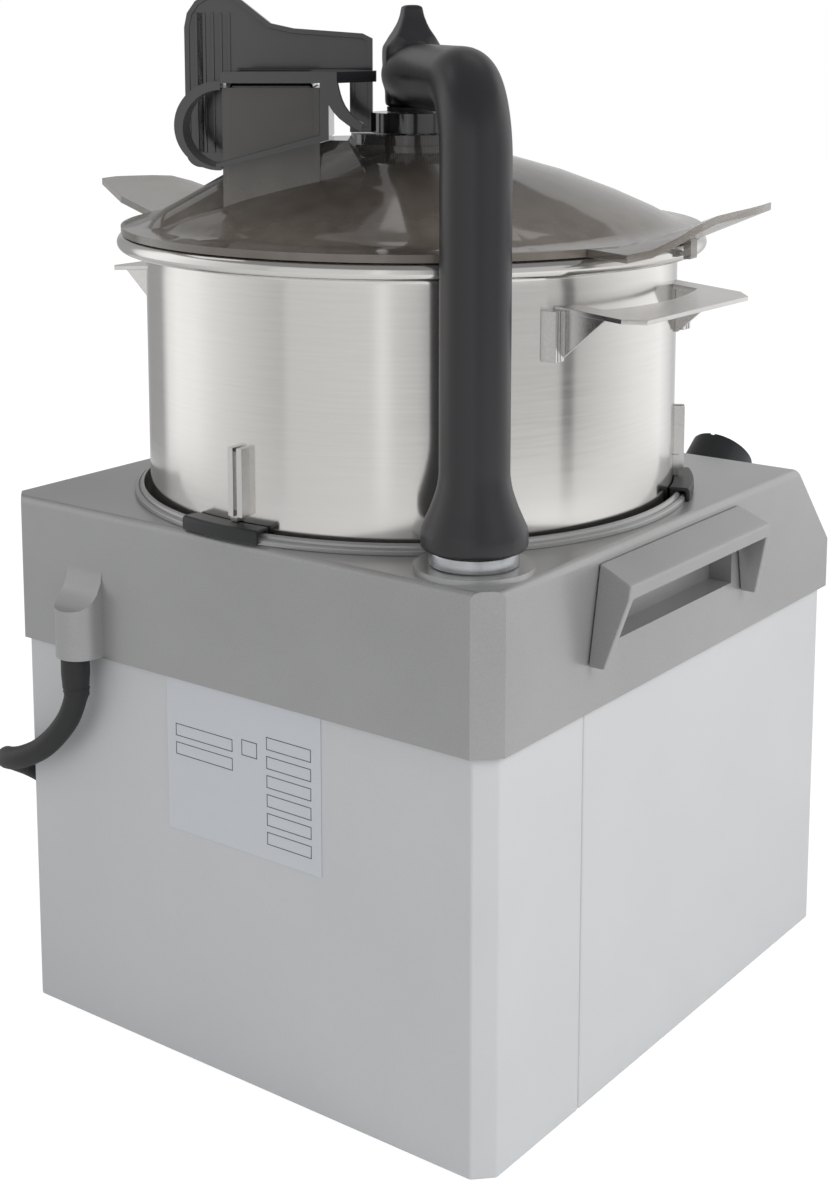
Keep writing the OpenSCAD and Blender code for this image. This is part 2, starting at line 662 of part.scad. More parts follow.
// Motor, hung under the well's floor
bell_h = 20;
bell_wall = 5;
bell_top = well_z - well_floor;
stator_z = bell_top - bell_h - stator_h;
stator_in = 40;
air_gap = 0.5;
bearing_h = 12;
bearing_fit = 0.02;
winding_h = 11;
bolt_r = 2.5;
bolt_ring = stator_r - 6;
module bell_ring(z0, z1, plate_z0, plate_z1, bearing_z) {
  difference() {
    union() {
      ring(stator_r, stator_r - 2 * bell_wall, z0, z1);
      ring(stator_r - bell_wall, bearing_r, plate_z0, plate_z1);
      ring(bearing_r + bell_wall, bearing_r + bearing_fit, bearing_z, bearing_z + bearing_h);
    }
    for (a = [0:90:270]) rotate([0, 0, a]) translate([bolt_ring, 0, z0 - over])
      cylinder(r = bolt_r + gap, h = z1 - z0 + 2 * over, $fn = small_fn);
  }
}
module motor_top_bell() color("#8d9093") at_axis() difference() {
  bell_ring(bell_top - bell_h, bell_top, bell_top - bell_wall, bell_top, bell_top - bearing_h);
  for (a = [45:90:315]) rotate([0, 0, a]) translate([motor_screw_ring, 0, bell_top - bell_wall - over])
    cylinder(r = motor_screw_r, h = bell_wall + 2 * over, $fn = small_fn);
}
slot_n = 12;
slot_w = 7;
slot_d = 14;
module motor_stator() color("#6f7377") at_axis() difference() {
  ring(stator_r, stator_in, stator_z, stator_z + stator_h);
  for (i = [0:slot_n - 1]) rotate([0, 0, i * 360 / slot_n]) translate([stator_in - over, -slot_w / 2, stator_z - over])
    cube([slot_d + over, slot_w, stator_h + 2 * over]);
  for (a = [0:90:270]) rotate([0, 0, a]) translate([bolt_ring, 0, stator_z - over])
    cylinder(r = bolt_r + gap, h = stator_h + 2 * over, $fn = small_fn);
}
module motor_windings() color("#a35a2a") at_axis() {
  ring(stator_in + slot_d, stator_in + gap, stator_z + stator_h + gap, stator_z + stator_h + winding_h);
  ring(stator_in + slot_d, stator_in + gap, stator_z - winding_h, stator_z - gap);
}
bell_low = stator_z - bell_h;
module motor_bottom_bell() color("#8d9093") at_axis()
  bell_ring(bell_low, stator_z, bell_low, bell_low + bell_wall, bell_low);
nut_r = 4.6;
nut_h = 4;
module motor_bolts() color("#b8babd") at_axis() for (a = [0:90:270]) rotate([0, 0, a]) translate([bolt_ring, 0, 0]) {
  translate([0, 0, bell_low - nut_h]) cylinder(r = nut_r, h = nut_h, $fn = 6);
  translate([0, 0, bell_low - nut_h]) cylinder(r = bolt_r, h = bell_top - bell_low + nut_h - gap, $fn = small_fn);
}
module bearings() color("#c7cacd") at_axis() {
  ring(bearing_r, shaft_r + run, bell_top - bearing_h, bell_top - gap);
  ring(bearing_r, shaft_r + run, bell_low + gap, bell_low + bearing_h);
}
module shaft_seal() color("#202122") at_axis()
  ring(seal_r - run, shaft_r + 2 * run, well_z + tower_h - seal_h, well_z + tower_h);
fan_h = 16;
fan_gap = 5;
knife_top = bowl_z + tube_h + 18;
shaft_top = knife_top - 2 * blade_t;
shaft_low = bell_low - fan_h - 2 * fan_gap;
module motor_shaft() color("#c5c8cb") at_axis() translate([0, 0, shaft_low]) cylinder(r = shaft_r, h = shaft_top - shaft_low);
module motor_rotor() color("#7c8084") at_axis() union() {
  ring(stator_in - air_gap, shaft_r, stator_z + gap, stator_z + stator_h - gap);
  ring(stator_in - slot_d / 2, stator_in - slot_d, stator_z - fan_gap, stator_z + stator_h + fan_gap);
}
fan_n = 9;
fan_r = 52;
fan_hub_r = 16;
fan_blade = 2;
module motor_fan() color("#2b2d2f") at_axis() difference() {
  translate([0, 0, shaft_low + fan_gap]) union() {
    cylinder(r = fan_hub_r, h = fan_h);
    cylinder(r = fan_r, h = fan_blade);
    for (i = [0:fan_n - 1]) rotate([0, 0, i * 360 / fan_n]) translate([fan_hub_r - over, -fan_blade / 2, 0])
      cube([fan_r - fan_hub_r, fan_blade, fan_h]);
  }
  translate([0, 0, shaft_low - over]) cylinder(r = shaft_r, h = 3 * fan_h);
}

// Electrics on the bottom plate and the front cover
cap_body_r = 22;
cap_body_h = 85;
cap_side = 52;
cap_front = 66.2;
cap_x = base_w / 2 - cap_side;
cap_y = -base_d / 2 + cap_front;
cap_tag = 3;
module run_capacitor() color("#d3d5d8") at_base() translate([cap_x, cap_y, base_z + plate_t]) {
  cylinder(r = cap_body_r, h = cap_body_h);
  for (s = [-1, 1]) translate([s * cap_body_r / 3, 0, cap_body_h]) cylinder(r = cap_tag, h = 3 * cap_tag, $fn = small_fn);
}
board_w = 120;
board_h = 90;
board_t = 1.6;
board_z = base_z + 50;
standoff_l = 8;
standoff_r = 4;
board_inner = -base_d / 2 + cover_t;
standoff_in = 8;
module board_standoffs() color("#c8b26a") at_base() for (sx = [-1, 1], z = [standoff_in, board_h - standoff_in])
  translate([sx * (board_w / 2 - standoff_in), board_inner, board_z + z]) rotate([-90, 0, 0])
    cylinder(r = standoff_r, h = standoff_l, $fn = small_fn);
// Board with its relays
module control_board() color("#2f6b45") at_base() translate([-board_w / 2, board_inner + standoff_l, board_z]) union() {
  cube([board_w, board_t, board_h]);
  for (i = [0:relay_n - 1]) translate([standoff_in + i * (relay_w + standoff_in), board_t / 2, board_h / 2])
    cube([relay_w, relay_t, relay_h]);
}
relay_w = 38;
relay_h = 30;
relay_t = 18;
relay_n = 2;
block_w = 46;
block_d = 18;
block_h = 20;
block_ways = 5;
module terminal_block() color("#d9d6cb") at_base() translate([lead_x - block_w / 2, base_d / 2 - 3 * block_d, base_z + plate_t])
  difference() {
    cube([block_w, block_d, block_h]);
    for (i = [0:block_ways - 1]) translate([(i + 0.5) * block_w / block_ways, block_d / 2, block_h / 2])
      cylinder(r = block_w / block_ways / 3, h = block_h, $fn = small_fn);
  }

// Bowl
tube_t = 1.5;
bowl_corner = 6;
module bowl_shell() color("#c9c8c8") at_axis() union() {
  rotate_extrude() polygon(concat(
    [[tube_r, bowl_z]],
    arc([bowl_r - bowl_corner, bowl_z + bowl_corner], bowl_corner, -90, 0),
    [[bowl_r, rim_z - roll_r], [rim_r - roll_r, rim_z - bowl_t], [rim_r - roll_r, rim_z], [bowl_in, rim_z]],
    arc([bowl_r - bowl_corner, bowl_z + bowl_corner], bowl_corner - bowl_t, 0, -90),
    [[tube_r + tube_t, bowl_floor], [tube_r + tube_t, bowl_z + tube_h], [tube_r, bowl_z + tube_h]]
  ));
  rotate_extrude() translate([rim_r - roll_r, rim_z - roll_r]) circle(r = roll_r, $fn = 48);
}
gusset_slope = 3;
handle_top = bowl_z + handle_z + gusset_slope;
handle_corner = 8;
gusset_reach = 26;
foot_layers = 3;
handle_in = handle_reach - handle_bar;
module bowl_handle() {
  wall_x = sqrt(pow(bowl_r, 2) - pow(handle_l / 2, 2));
  plate_x = handle_reach - wall_x + handle_t;
  stack = foot_layers * layer_pitch;
  difference() {
    union() {
      // Plate with its outer corners cut, tilted down towards its outer edge
      difference() {
        translate([wall_x - handle_t, 0, handle_top - handle_t]) rotate([0, handle_tilt, 0]) linear_extrude(handle_t)
          polygon([
            [0, -handle_l / 2], [plate_x - handle_corner, -handle_l / 2], [plate_x, -handle_l / 2 + handle_corner],
            [plate_x, handle_l / 2 - handle_corner], [plate_x - handle_corner, handle_l / 2], [0, handle_l / 2]
          ]);
        // Finger gap between the bar and the bowl
        translate([0, 0, bowl_z]) intersection() {
          cylinder(r = handle_in, h = bowl_h);
          translate([0, strip_w - handle_l / 2, 0]) cube([handle_in, handle_l - 2 * strip_w, bowl_h]);
        }
      }
      // Gussets and the folded feet beside them, in layers
      for (m = [0, 1]) mirror([0, m, 0]) {
        translate([0, handle_l / 2 - gap, 0]) rotate([90, 0, 0]) linear_extrude(handle_t) polygon([
          [wall_x - handle_t, handle_top - handle_t / 2], [wall_x - handle_t, handle_top - gusset_h],
          [wall_x + handle_t, handle_top - gusset_h], [wall_x + gusset_reach, handle_top - handle_t / 2 - gusset_slope]
        ]);
        difference() {
          translate([wall_x - 3 * handle_t, handle_l / 2 - handle_t / 2 - gap, handle_top - gusset_h + handle_t / 2])
            cube([5.5 * handle_t, handle_t / 2 + gap + stack, gusset_h - 1.4 * handle_t]);
          for (i = [1:foot_layers - 1]) translate([wall_x + handle_t, handle_l / 2 + i * layer_pitch - layer_seam / 2, bowl_z])
            cube([3 * handle_t, layer_seam, bowl_h]);
        }
      }
    }
    translate([0, 0, bowl_z]) cylinder(r = bowl_r, h = bowl_h);
  }
}
handle_tilt = 5;
strip_w = 12;
layer_pitch = 1.9;
layer_seam = 0.5;
module bowl_handle_left() color("#b9b9b9") at_axis() rotate([0, 0, 180]) bowl_handle();
module bowl_handle_right() color("#b9b9b9") at_axis() bowl_handle();
lug_w = 8;
lug_out = 5;
lug_h = 31;
lug_gap = 2.2;
lug_z = clip_top + gap;
lug_z_up = 3;
module bowl_lugs() color("#b9b9b9") at_axis() for (a = clip_share) rotate([0, 0, a]) difference() {
  translate([0, 0, lug_z + lug_z_up]) union() {
    for (s = [-1, 1]) translate([0, s * (lug_w + lug_gap) / 4 - (lug_w - lug_gap) / 4, 0])
      cube([bowl_r + lug_out, (lug_w - lug_gap) / 2, lug_h]);
    translate([0, -lug_w / 4, lug_gap]) cube([bowl_r + lug_out / 2, lug_w / 2, lug_h - 2 * lug_gap]);
    translate([0, -lug_w / 2 - over, -lug_z_up]) cube([bowl_r + lug_out / 2, lug_w / 2, lug_h / 3]);
  }
  translate([0, 0, bowl_z]) cylinder(r = bowl_r, h = bowl_h, $fn = 192);
}

// Knife
knife_gap = 1.5;
knife_z = bowl_floor + knife_gap;
lower_z = knife_z + knife_gap;
module knife_hub() color("#d6d4cd") at_axis() difference() {
  translate([0, 0, knife_z]) union() {
    cylinder(r = knife_hub_r, h = blade_step + 4 * blade_t);
    translate([0, 0, blade_step + 4 * blade_t]) cylinder(r1 = knife_hub_r, r2 = knife_hub_r - blade_t, h = knife_top - knife_z - blade_step - 4 * blade_t);
  }
  translate([0, 0, knife_z - over]) cylinder(r = tube_r + tube_t + knife_gap, h = bowl_z + tube_h + knife_gap - knife_z + over);
  translate([0, 0, knife_z]) cylinder(r = shaft_r, h = bowl_h);
  translate([0, 0, lower_z]) ring_cut(blade_t);
  translate([0, 0, lower_z + blade_step]) ring_cut(blade_t);
}
// Groove that a pair of blades is held in
module ring_cut(h) {
  difference() {
    cylinder(r = knife_hub_r + over, h = h);
    translate([0, 0, -over]) cylinder(r = knife_hub_r - blade_grip, h = h + 2 * over);
  }
}
blade_grip = 2.5;
serration_n = 9;
serration_r = 5;
// Sickle blade: the crescent between two arcs, scalloped along its cutting edge
module blade() {
  reach = knife_r - knife_hub_r;
  out_r = reach * 0.78;
  in_r = out_r * 0.98;
  centre = knife_hub_r + reach / 2 - blade_grip;
  linear_extrude(blade_t) difference() {
    intersection() {
      translate([centre, -out_r * 0.45]) circle(r = out_r);
      translate([0, -blade_w / 2]) square([knife_r, knife_r]);
      circle(r = knife_r);
    }
    translate([centre, -out_r * 0.45 - blade_w]) circle(r = in_r);
    circle(r = knife_hub_r - blade_grip);
    for (i = [0:serration_n - 1]) let (a = 58 + i * (128 - 58) / (serration_n - 1))
      translate([centre + (out_r + serration_r * 0.72) * cos(a), -out_r * 0.45 + (out_r + serration_r * 0.72) * sin(a)])
        circle(r = serration_r, $fn = small_fn);
  }
}
module blade_pair(turn, z) {
  at_axis() translate([0, 0, z]) rotate([0, 0, turn]) union() {
    both_ends() blade();
    ring(knife_hub_r + blade_grip, knife_hub_r - blade_grip, 0, blade_t);
  }
}
upper_turn = 90;
module lower_blades() color("#dcdcdc") blade_pair(feed_ang, lower_z);
module upper_blades() color("#dcdcdc") blade_pair(feed_ang + upper_turn, lower_z + blade_step);
nut_top = 13;
knife_nut_r = 15;
grip_scoop = 3;
module knife_nut() color("#d6d4cd") at_axis() translate([0, 0, knife_top]) difference() {
  cylinder(r1 = knife_nut_r, r2 = knife_nut_r - blade_t, h = nut_top);
  for (i = [0:5]) rotate([0, 0, i * 60]) translate([knife_nut_r + grip_scoop / 2, 0, blade_t])
    cylinder(r = grip_scoop, h = nut_top, $fn = small_fn);
}

// Lid: a flared dome with its hub collar, feed chute and the half-round hump below the chute
dome_r_share = [0, 0.159, 0.367, 0.61, 0.785, 0.865, 0.923];
dome_z_share = [1, 0.875, 0.70, 0.43, 0.20, 0.075, 0.02];
dome_h = hub_z - brim_z - lid_t;
collar_step = 3.1;
dome_in = collar_r + collar_step;
function dome_pts(t) = [for (i = [0:len(dome_r_share) - 1])
  [dome_in + (brim_r - dome_in) * dome_r_share[i], brim_z + lid_t + dome_h * dome_z_share[i] - t]];
lip_r = bowl_in - 5.3;
lip_t = 2.5;
lip_h = 5;
scraper_bush_r = 13;
shaft_hole = scraper_bush_r + bearing_fit;
chute_rise = 33;
chute_top = collar_z + chute_rise;
chute_low = brim_z + lid_t + dome_h * 0.3;
hump_r = 22;
hump_up = 14;
hump_z = brim_z + lid_t + hump_up;
hump_end = 46;
dome_fill = 60;
module dome_solid(t) {
  rotate_extrude() polygon(concat(
    [[0, brim_z - dome_fill], [0, hub_z - t]], dome_pts(t),
    [[dome_pts(t)[len(dome_r_share) - 1][0], brim_z - dome_fill]]
  ));
}
module chute_outline(w, z0, z1) {
  translate([chute_s - chute_w / 2 + w, chute_o - chute_d / 2 + w, z0])
    cube([chute_w - 2 * w, chute_d - 2 * w, z1 - z0]);
}
module hump(t) {
  translate([chute_s, chute_o, hump_z]) rotate([0, 90 - hump_fall, 0]) translate([0, 0, -chute_w])
    cylinder(r = hump_r - t, h = chute_w + hump_end);
  translate([chute_s, chute_o, hump_z]) rotate([0, 90 - hump_fall, 0]) translate([0, 0, hump_end])
    sphere(r = hump_r - t);
}
hump_fall = -29;
module lid_dome() color([0.30, 0.28, 0.26, 0.6]) union() {
  difference() {
    union() {
      at_axis() rotate_extrude() polygon(concat(
        [[shaft_hole, hub_z - lid_t], [shaft_hole, collar_z + collar_h], [collar_r - lid_t, collar_z + collar_h],
        [collar_r - lid_t, collar_z + collar_h / 2], [collar_r, collar_z + collar_h / 2], [collar_r, hub_z]],
        dome_pts(0), [[brim_r, brim_z + lid_t], [brim_r, brim_z], [lip_r + lip_t, brim_z], [lip_r + lip_t, brim_z - lip_h],
        [lip_r, brim_z - lip_h], [lip_r, brim_z]],
        [for (i = [len(dome_r_share) - 2:-1:0]) dome_pts(lid_t)[i]]
      ));
      at_feed() difference() {
        union() {
          chute_outline(0, chute_low, chute_top);
          intersection() {
            hump(0);
            rotate_extrude() polygon([[0, brim_z], [brim_r - 1, brim_z], [brim_r - 1, chute_top], [0, chute_top]]);
            // Flat top that clears the cup's leg and strip
            translate([0, chute_o + 2 * hump_r, 0]) rotate([90, 0, 0]) linear_extrude(4 * hump_r) polygon([
              [0, brim_z], [brim_r, brim_z], [brim_r, strip_low - 4 * gap], [chute_s + chute_w / 2, strip_low - 2 * gap],
              [chute_s - chute_w / 2 - leg_t - gap, leg_low - 2 * gap], [0, leg_low - 2 * gap]
            ]);
          }
        }
        dome_solid(lid_t);
      }
    }
    at_feed() chute_outline(chute_t, brim_z - dome_fill, chute_top + over);
  }
}
wing_a0 = -21;
wing_a1 = 18;
wing_n = 9;
wing_in = brim_r + gap;
wing_t = 3.5;
// Rise of a wing's outer edge as a share of its full rise, from the flat end to the turned-up end
function wing_up(u) = u < 0.5 ? (1 - cos(180 * u / 0.5)) / 2 : 1;
function wing_r(u) = wing_in + wing_out * (u > 0.85 ? sqrt(1 - pow((u - 0.85) / 0.17, 2)) : 0.74 + 0.26 * u / 0.85);
function wing_ring(u) = let (a = wing_a0 + (wing_a1 - wing_a0) * u, r = wing_r(u), z = brim_z + wing_rise * wing_up(u)
  * (r - wing_in) / wing_out) [
  [wing_in * cos(a), wing_in * sin(a), brim_z], [r * cos(a), r * sin(a), z],
  [r * cos(a), r * sin(a), z + wing_t], [wing_in * cos(a), wing_in * sin(a), brim_z + wing_t]
];
module wing() {
  pts = [for (i = [0:wing_n]) each wing_ring(i / wing_n)];
  polyhedron(points = pts, faces = concat(
    [[0, 2, 1], [0, 3, 2]],
    [for (i = [0:wing_n - 1], j = [0:3]) let (a = 4 * i + j, b = 4 * i + (j + 1) % 4) [a, b, a + 4]],
    [for (i = [0:wing_n - 1], j = [0:3]) let (a = 4 * i + j, b = 4 * i + (j + 1) % 4) [b, b + 4, a + 4]],
    [[4 * wing_n, 4 * wing_n + 1, 4 * wing_n + 2], [4 * wing_n, 4 * wing_n + 2, 4 * wing_n + 3]]
  ));
}
peg_w = 8;
peg_in = rim_r + 4 * gap;
peg_t = 3.6;
peg_low = 6;
peg_a = 6.4;
module lid_wings() color([0.30, 0.28, 0.26, 0.6]) at_axis() both_ends() union() {
  wing();
  rotate([0, 0, peg_a]) translate([peg_in, -peg_w / 2, brim_z - peg_low]) cube([peg_t, peg_w, peg_low + wing_t]);
}
seal_t = 2;
module lid_seal() color("#e4e2db") at_axis()
  ring(bowl_in - gap, lip_r + lip_t, brim_z - lip_h, brim_z - lip_h + seal_t);
module scraper_bush() color("#e9e7df") at_axis()
  ring(scraper_bush_r, scraper_shaft_r + run, hub_z - lid_t, collar_z + collar_h - gap / 2);

// Feed cup with its black flange, leg and loop handle
cup_top = chute_top + cup_t;
cup_z = chute_low + 5 * cup_t;
module feed_cup() color([0.30, 0.28, 0.26, 0.6]) at_feed() difference() {
  chute_outline(chute_t + gap * 2, cup_z, cup_top);
  chute_outline(chute_t + gap * 2 + cup_t, cup_z + cup_t, cup_top + over);
}
flange_t = 5;
flange_in = 16;
leg_t = 4;
leg_h = 30;
flange_lap = 4;
strip_t = 2.5;
strip_h = 3;
leg_low = cup_top + flange_t - leg_h - gap;
module cup_frame() color("#17181a") at_feed() union() {
  fx0 = chute_s - chute_w / 2;
  fx1 = chute_s + chute_w / 2;
  fy0 = chute_o - chute_d / 2;
  fy1 = chute_o + chute_d / 2;
  difference() {
    translate([0, 0, cup_top + gap / 3]) linear_extrude(flange_t) polygon([
      [fx1 + gap, fy0 - gap], [fx1 + gap, fy1 + flange_lap], [fx0 - 2 * leg_t, fy1 + flange_lap],
      [flange_in, chute_o + leg_t], [flange_in, chute_o - leg_t], [fx0 - 2 * leg_t, fy0 - gap]
    ]);
    chute_outline(chute_t + cup_t + gap * 2, cup_top, cup_top + flange_t + 2 * over);
  }
  translate([fx0 - gap - leg_t, fy0, cup_top + flange_t - leg_h - gap]) cube([leg_t, chute_d + flange_lap, leg_h]);
  translate([fx0 - gap - leg_t, fy1 + flange_lap, 0]) rotate([90, 0, 0]) linear_extrude(strip_t) polygon([
    [0, cup_top + flange_t - leg_h - gap], [chute_w + leg_t + 2 * gap, loop_z - loop_r + strip_h / 2],
    [chute_w + leg_t + strip_h, loop_z - loop_r], [chute_w + leg_t + strip_h, loop_z - loop_r + strip_h],
    [0, cup_top + flange_t - leg_h + strip_h]
  ]);
  translate([fx1 + gap, fy1 + flange_lap, 0]) rotate([90, 0, 0]) linear_extrude(loop_w) intersection() {
    difference() {
      translate([loop_off, loop_z]) circle(r = loop_r);
      translate([loop_off - loop_thin, loop_z - loop_thin]) circle(r = loop_r - 2 * loop_thin);
    }
    translate([0, loop_z - 2 * loop_r]) square([3 * loop_r, 4 * loop_r]);
  }
}
loop_off = 1;
loop_thin = 1.3;
loop_z = cup_top - loop_r + over;
strip_low = loop_z - loop_r;

// Scraper: lever, shaft, frame in the bowl and wiping blades
lever_in = arm_end_r + 3;
lever_web = 22;
lever_z = cap_top + 40;
lever_low = cap_z - 17;
paddle_w = 27;
lever_edge = 2.4;
lever_sink = 1.2;
rib_n = 5;
rib_w = 1.4;
paddle_top = cap_z + paddle_rise;
function lever_outline() = concat(
  [[0, cap_z], [0, cap_top], [lever_in, cap_top], [lever_in, lever_z - 2 * lever_edge],
  [lever_in + 2 * lever_edge, lever_z - lever_edge], [lever_reach * 0.52, lever_z],
  [lever_reach * 0.62, lever_z + lever_edge]],
  arc([lever_reach - paddle_r, paddle_top - paddle_r], paddle_r, 140, 0),
  arc([lever_reach - lever_web / 3, lever_low + lever_web / 3], lever_web / 3, 0, -90),
  arc([lever_reach - paddle_w + lever_web / 3, lever_low + lever_web / 3], lever_web / 3, -90, -180),
  [[lever_reach - paddle_w, lever_z - lever_web], [lever_in + lever_web / 2, lever_z - lever_web],
  [lever_in + lever_web / 2, cap_z]]
);
module lever_plate(t) {
  translate([0, t / 2, 0]) rotate([90, 0, 0]) linear_extrude(t) children();
}
module scraper_lever() color("#232427") at_feed() union() {
  difference() {
    union() {
      lever_plate(lever_t) polygon(lever_outline());
      translate([0, 0, cap_z]) cylinder(r = cap_r, h = cap_h);
    }
    // Faces sunk inside a raised border
    for (s = [-1, 1]) translate([0, s * (lever_t / 2 - lever_sink / 2), 0]) difference() {
      lever_plate(lever_sink) offset(delta = -lever_edge) polygon(lever_outline());
      translate([0, 0, cap_z - over]) cylinder(r = cap_r + over, h = cap_h + 3 * over);
    }
    translate([0, 0, cap_z - over]) cylinder(r = scraper_shaft_r, h = cap_h / 2 + over);
  }
  for (s = [-1, 1], i = [0:rib_n - 1])
    translate([lever_reach - paddle_w + lever_edge + (i + 0.8) * (paddle_w - 2 * lever_edge) / (rib_n + 0.6) - rib_w / 2,
      s * (lever_t / 2 - lever_sink / 2) - lever_sink / 2, lever_low + 3 * lever_edge])
      cube([rib_w, lever_sink, paddle_top - lever_low - paddle_r * 0.6 - 3 * lever_edge]);
}
frame_top = brim_z - lip_h - 6;
frame_h = 8;
frame_w = 12;
module scraper_shaft() color("#c9cbcd") at_axis() translate([0, 0, frame_top - frame_h])
  cylinder(r = scraper_shaft_r, h = cap_z + cap_h / 2 - frame_top + frame_h);
carrier_t = 4.9;
wiper_in = bowl_r - 2 * carrier_t;
frame_hub_r = 17;
wiper_low = bowl_floor + 5;
module scraper_frame() color("#e4e2db") at_feed() difference() {
  union() {
    translate([0, 0, frame_top - frame_h]) cylinder(r = frame_hub_r, h = frame_h);
    both_ends() {
      translate([0, -frame_w / 2, frame_top - frame_h]) cube([wiper_in, frame_w, frame_h]);
      translate([wiper_in - carrier_t, -frame_w / 2, wiper_low]) cube([carrier_t, frame_w, frame_top - wiper_low]);
    }
  }
  translate([0, 0, frame_top - frame_h - over]) cylinder(r = scraper_shaft_r, h = frame_h + 2 * over);
}
module scraper_wipers() color("#2a2b2d") at_feed() both_ends() intersection() {
  translate([wiper_in, -wiper_t / 2, wiper_low]) cube([bowl_r, wiper_t, frame_top - wiper_low]);
  cylinder(r = bowl_in - 2 * gap, h = rim_z);
}

// Mains lead. Points of the free run from the gland to the coil, from the base's centre
coil_x = cast_w / 2 + 9;
coil_y = -30;
gland_low = cast_z - 7;
lead_side = cast_w / 2;
lead_back = cast_rear + gland_out;
lead_top = gland_low - gap;
lead_pts = [
  [lead_x, lead_back, lead_top], [lead_x, lead_back, lead_top - lead_d / 2], [lead_x, lead_back, lead_top - lead_d],
  [lead_x + 4.3, lead_back + 0.9, lead_top - 22.5], [lead_x + 12.8, lead_back + 1.9, lead_top - 33.5],
  [lead_x + 23.3, lead_back + 2.4, lead_top - 42.5], [lead_side - 17, lead_back + 1.9, lead_top - 49.5],
  [lead_side - 4, lead_back - 1.6, lead_top - 54.5], [lead_side + 8, lead_back - 9.6, lead_top - 59.5],
  [lead_side + 16, lead_back - 21.6, lead_top - 66.5], [lead_side + 20, lead_back - 38.6, lead_top - 77.5],
  [lead_side + 21, lead_back - 58.6, lead_top / 2], [lead_side + 20, lead_back * 0.522, lead_top * 0.382],
  [lead_side + 17, lead_back * 0.38, lead_top * 0.255], [lead_side + 13.5, lead_back * 0.25, lead_top * 0.149],
  [lead_side + 10.5, lead_back * 0.13, lead_top * 0.072], [coil_x, lead_back * 0.012, lead_d * 0.6],
  [coil_x, coil_y + lead_d + 6, lead_d / 2], [coil_x, coil_y + lead_d, lead_d / 2]
];
lead_sides = 8;
lead_step = 4;
plug_r = 18.5;
coil_sides = 6;
coil_rings = 24;
coil_mid = 66;
coil_pitch = 11.7;
coil_lift = 11.7;
// Turns wound inwards on the floor, and then outwards on top of them
coil_in = 1.5;
coil_out = 1.25;
coil_tail = 60;
coil_r = coil_mid + coil_in / 2 * coil_pitch;
coil_turns = coil_in + 0.5 + coil_out;
// Radius and height of the coil's centre line, t turns from its start
function coil_rad(t) = let (d = t - coil_in) d <= 0.25 ? coil_r - coil_pitch * t
  : d <= 0.5 ? coil_r - coil_pitch * (coil_in + 0.5) + coil_pitch * d
  : coil_r - coil_pitch * coil_in + coil_pitch * (d - 0.5);
function coil_up(t) = let (d = (t - coil_in) / 0.5) lead_d / 2 + coil_lift * (d <= 0 ? 0 : d >= 1 ? 1 : (1 - cos(180 * d)) / 2);
function coil_point(t) = let (a = 180 + 360 * t, r = coil_rad(t))
  [coil_x + coil_r + r * cos(a), coil_y + r * sin(a), coil_up(t)];
coil_end = coil_point(coil_turns);
coil_pts = concat(
  [for (u = [2:-1:1]) [coil_x, coil_y + u * lead_d / 2, lead_d / 2]],
  [for (i = [0:coil_turns * coil_rings]) coil_point(i / coil_rings)],
  [for (u = [1:6]) let (v = u / 6) [coil_end[0] + coil_tail * v, coil_end[1],
    coil_end[2] + (plug_r - coil_end[2]) * (v < 0.85 ? (1 - cos(180 * v / 0.85)) / 2 : 1)]]
);
function crom(a, b, c, d, t) = 0.5 * ((2 * b) + (c - a) * t + (2 * a - 5 * b + 4 * c - d) * t * t
  + (3 * b - a - 3 * c + d) * t * t * t);
function smooth(p, n) = [for (i = [0:len(p) - 2], k = [0:n - 1]) crom(p[max(i - 1, 0)], p[i], p[i + 1],
  p[min(i + 2, len(p) - 1)], k / n)];
function unit(v) = v / norm(v);
function tangent(p, i) = unit(p[min(i + 1, len(p) - 1)] - p[max(i - 1, 0)]);
// Frame carried along a path without twist
function carried(p) = [for (i = 0, n = unit(cross(tangent(p, 0), [0.3, 0.2, 0.9])); i < len(p);
  i = i + 1, n = i < len(p) ? let (t = tangent(p, i)) unit(n - (n * t) * t) : n) n];
function tube_ring(c, t, n, r, sides) = let (b = cross(t, n)) [for (k = [0:sides - 1])
  let (a = 360 * k / sides) c + r * (cos(a) * n + sin(a) * b)];
module tube(p, r, sides) {
  n = carried(p);
  pts = [for (i = [0:len(p) - 1]) each tube_ring(p[i], tangent(p, i), n[i], r, sides)];
  last = (len(p) - 1) * sides;
  polyhedron(points = pts, faces = concat(
    [[for (k = [0:sides - 1]) k]],
    [for (i = [0:len(p) - 2], k = [0:sides - 1]) let (a = i * sides + k, b = i * sides + (k + 1) % sides) [a, a + sides, b]],
    [for (i = [0:len(p) - 2], k = [0:sides - 1]) let (a = i * sides + k, b = i * sides + (k + 1) % sides)
      [b, a + sides, b + sides]],
    [[for (k = [sides - 1:-1:0]) last + k]]
  ));
}
lead_line = concat(smooth(lead_pts, lead_step), [lead_pts[len(lead_pts) - 1]]);
module power_cord() color("#1a1a1b") at_base() tube(lead_line, lead_d / 2, lead_sides);
module power_cord_coil() color("#1a1a1b") at_base() tube(coil_pts, lead_d / 2, coil_sides);
module lead_gland() color("#1c1c1d") at_base() translate([lead_x, cast_rear + gland_out, 0]) union() {
  translate([0, 0, gland_low]) cylinder(r1 = lead_d / 2 + gap, r2 = gland_r - gap, h = cast_z - gland_low);
  translate([0, 0, cast_z - gap]) cylinder(r = gland_r - run, h = gland_in);
}
plug_l = 20;
plug_neck = 22;
plug_neck_r = 8;
pin_r = 2.4;
pin_l = 19;
pin_pitch = 19;
module at_plug() {
  at_base() translate([coil_end[0] + coil_tail, coil_end[1], plug_r]) rotate([0, 90, 0]) children();
}
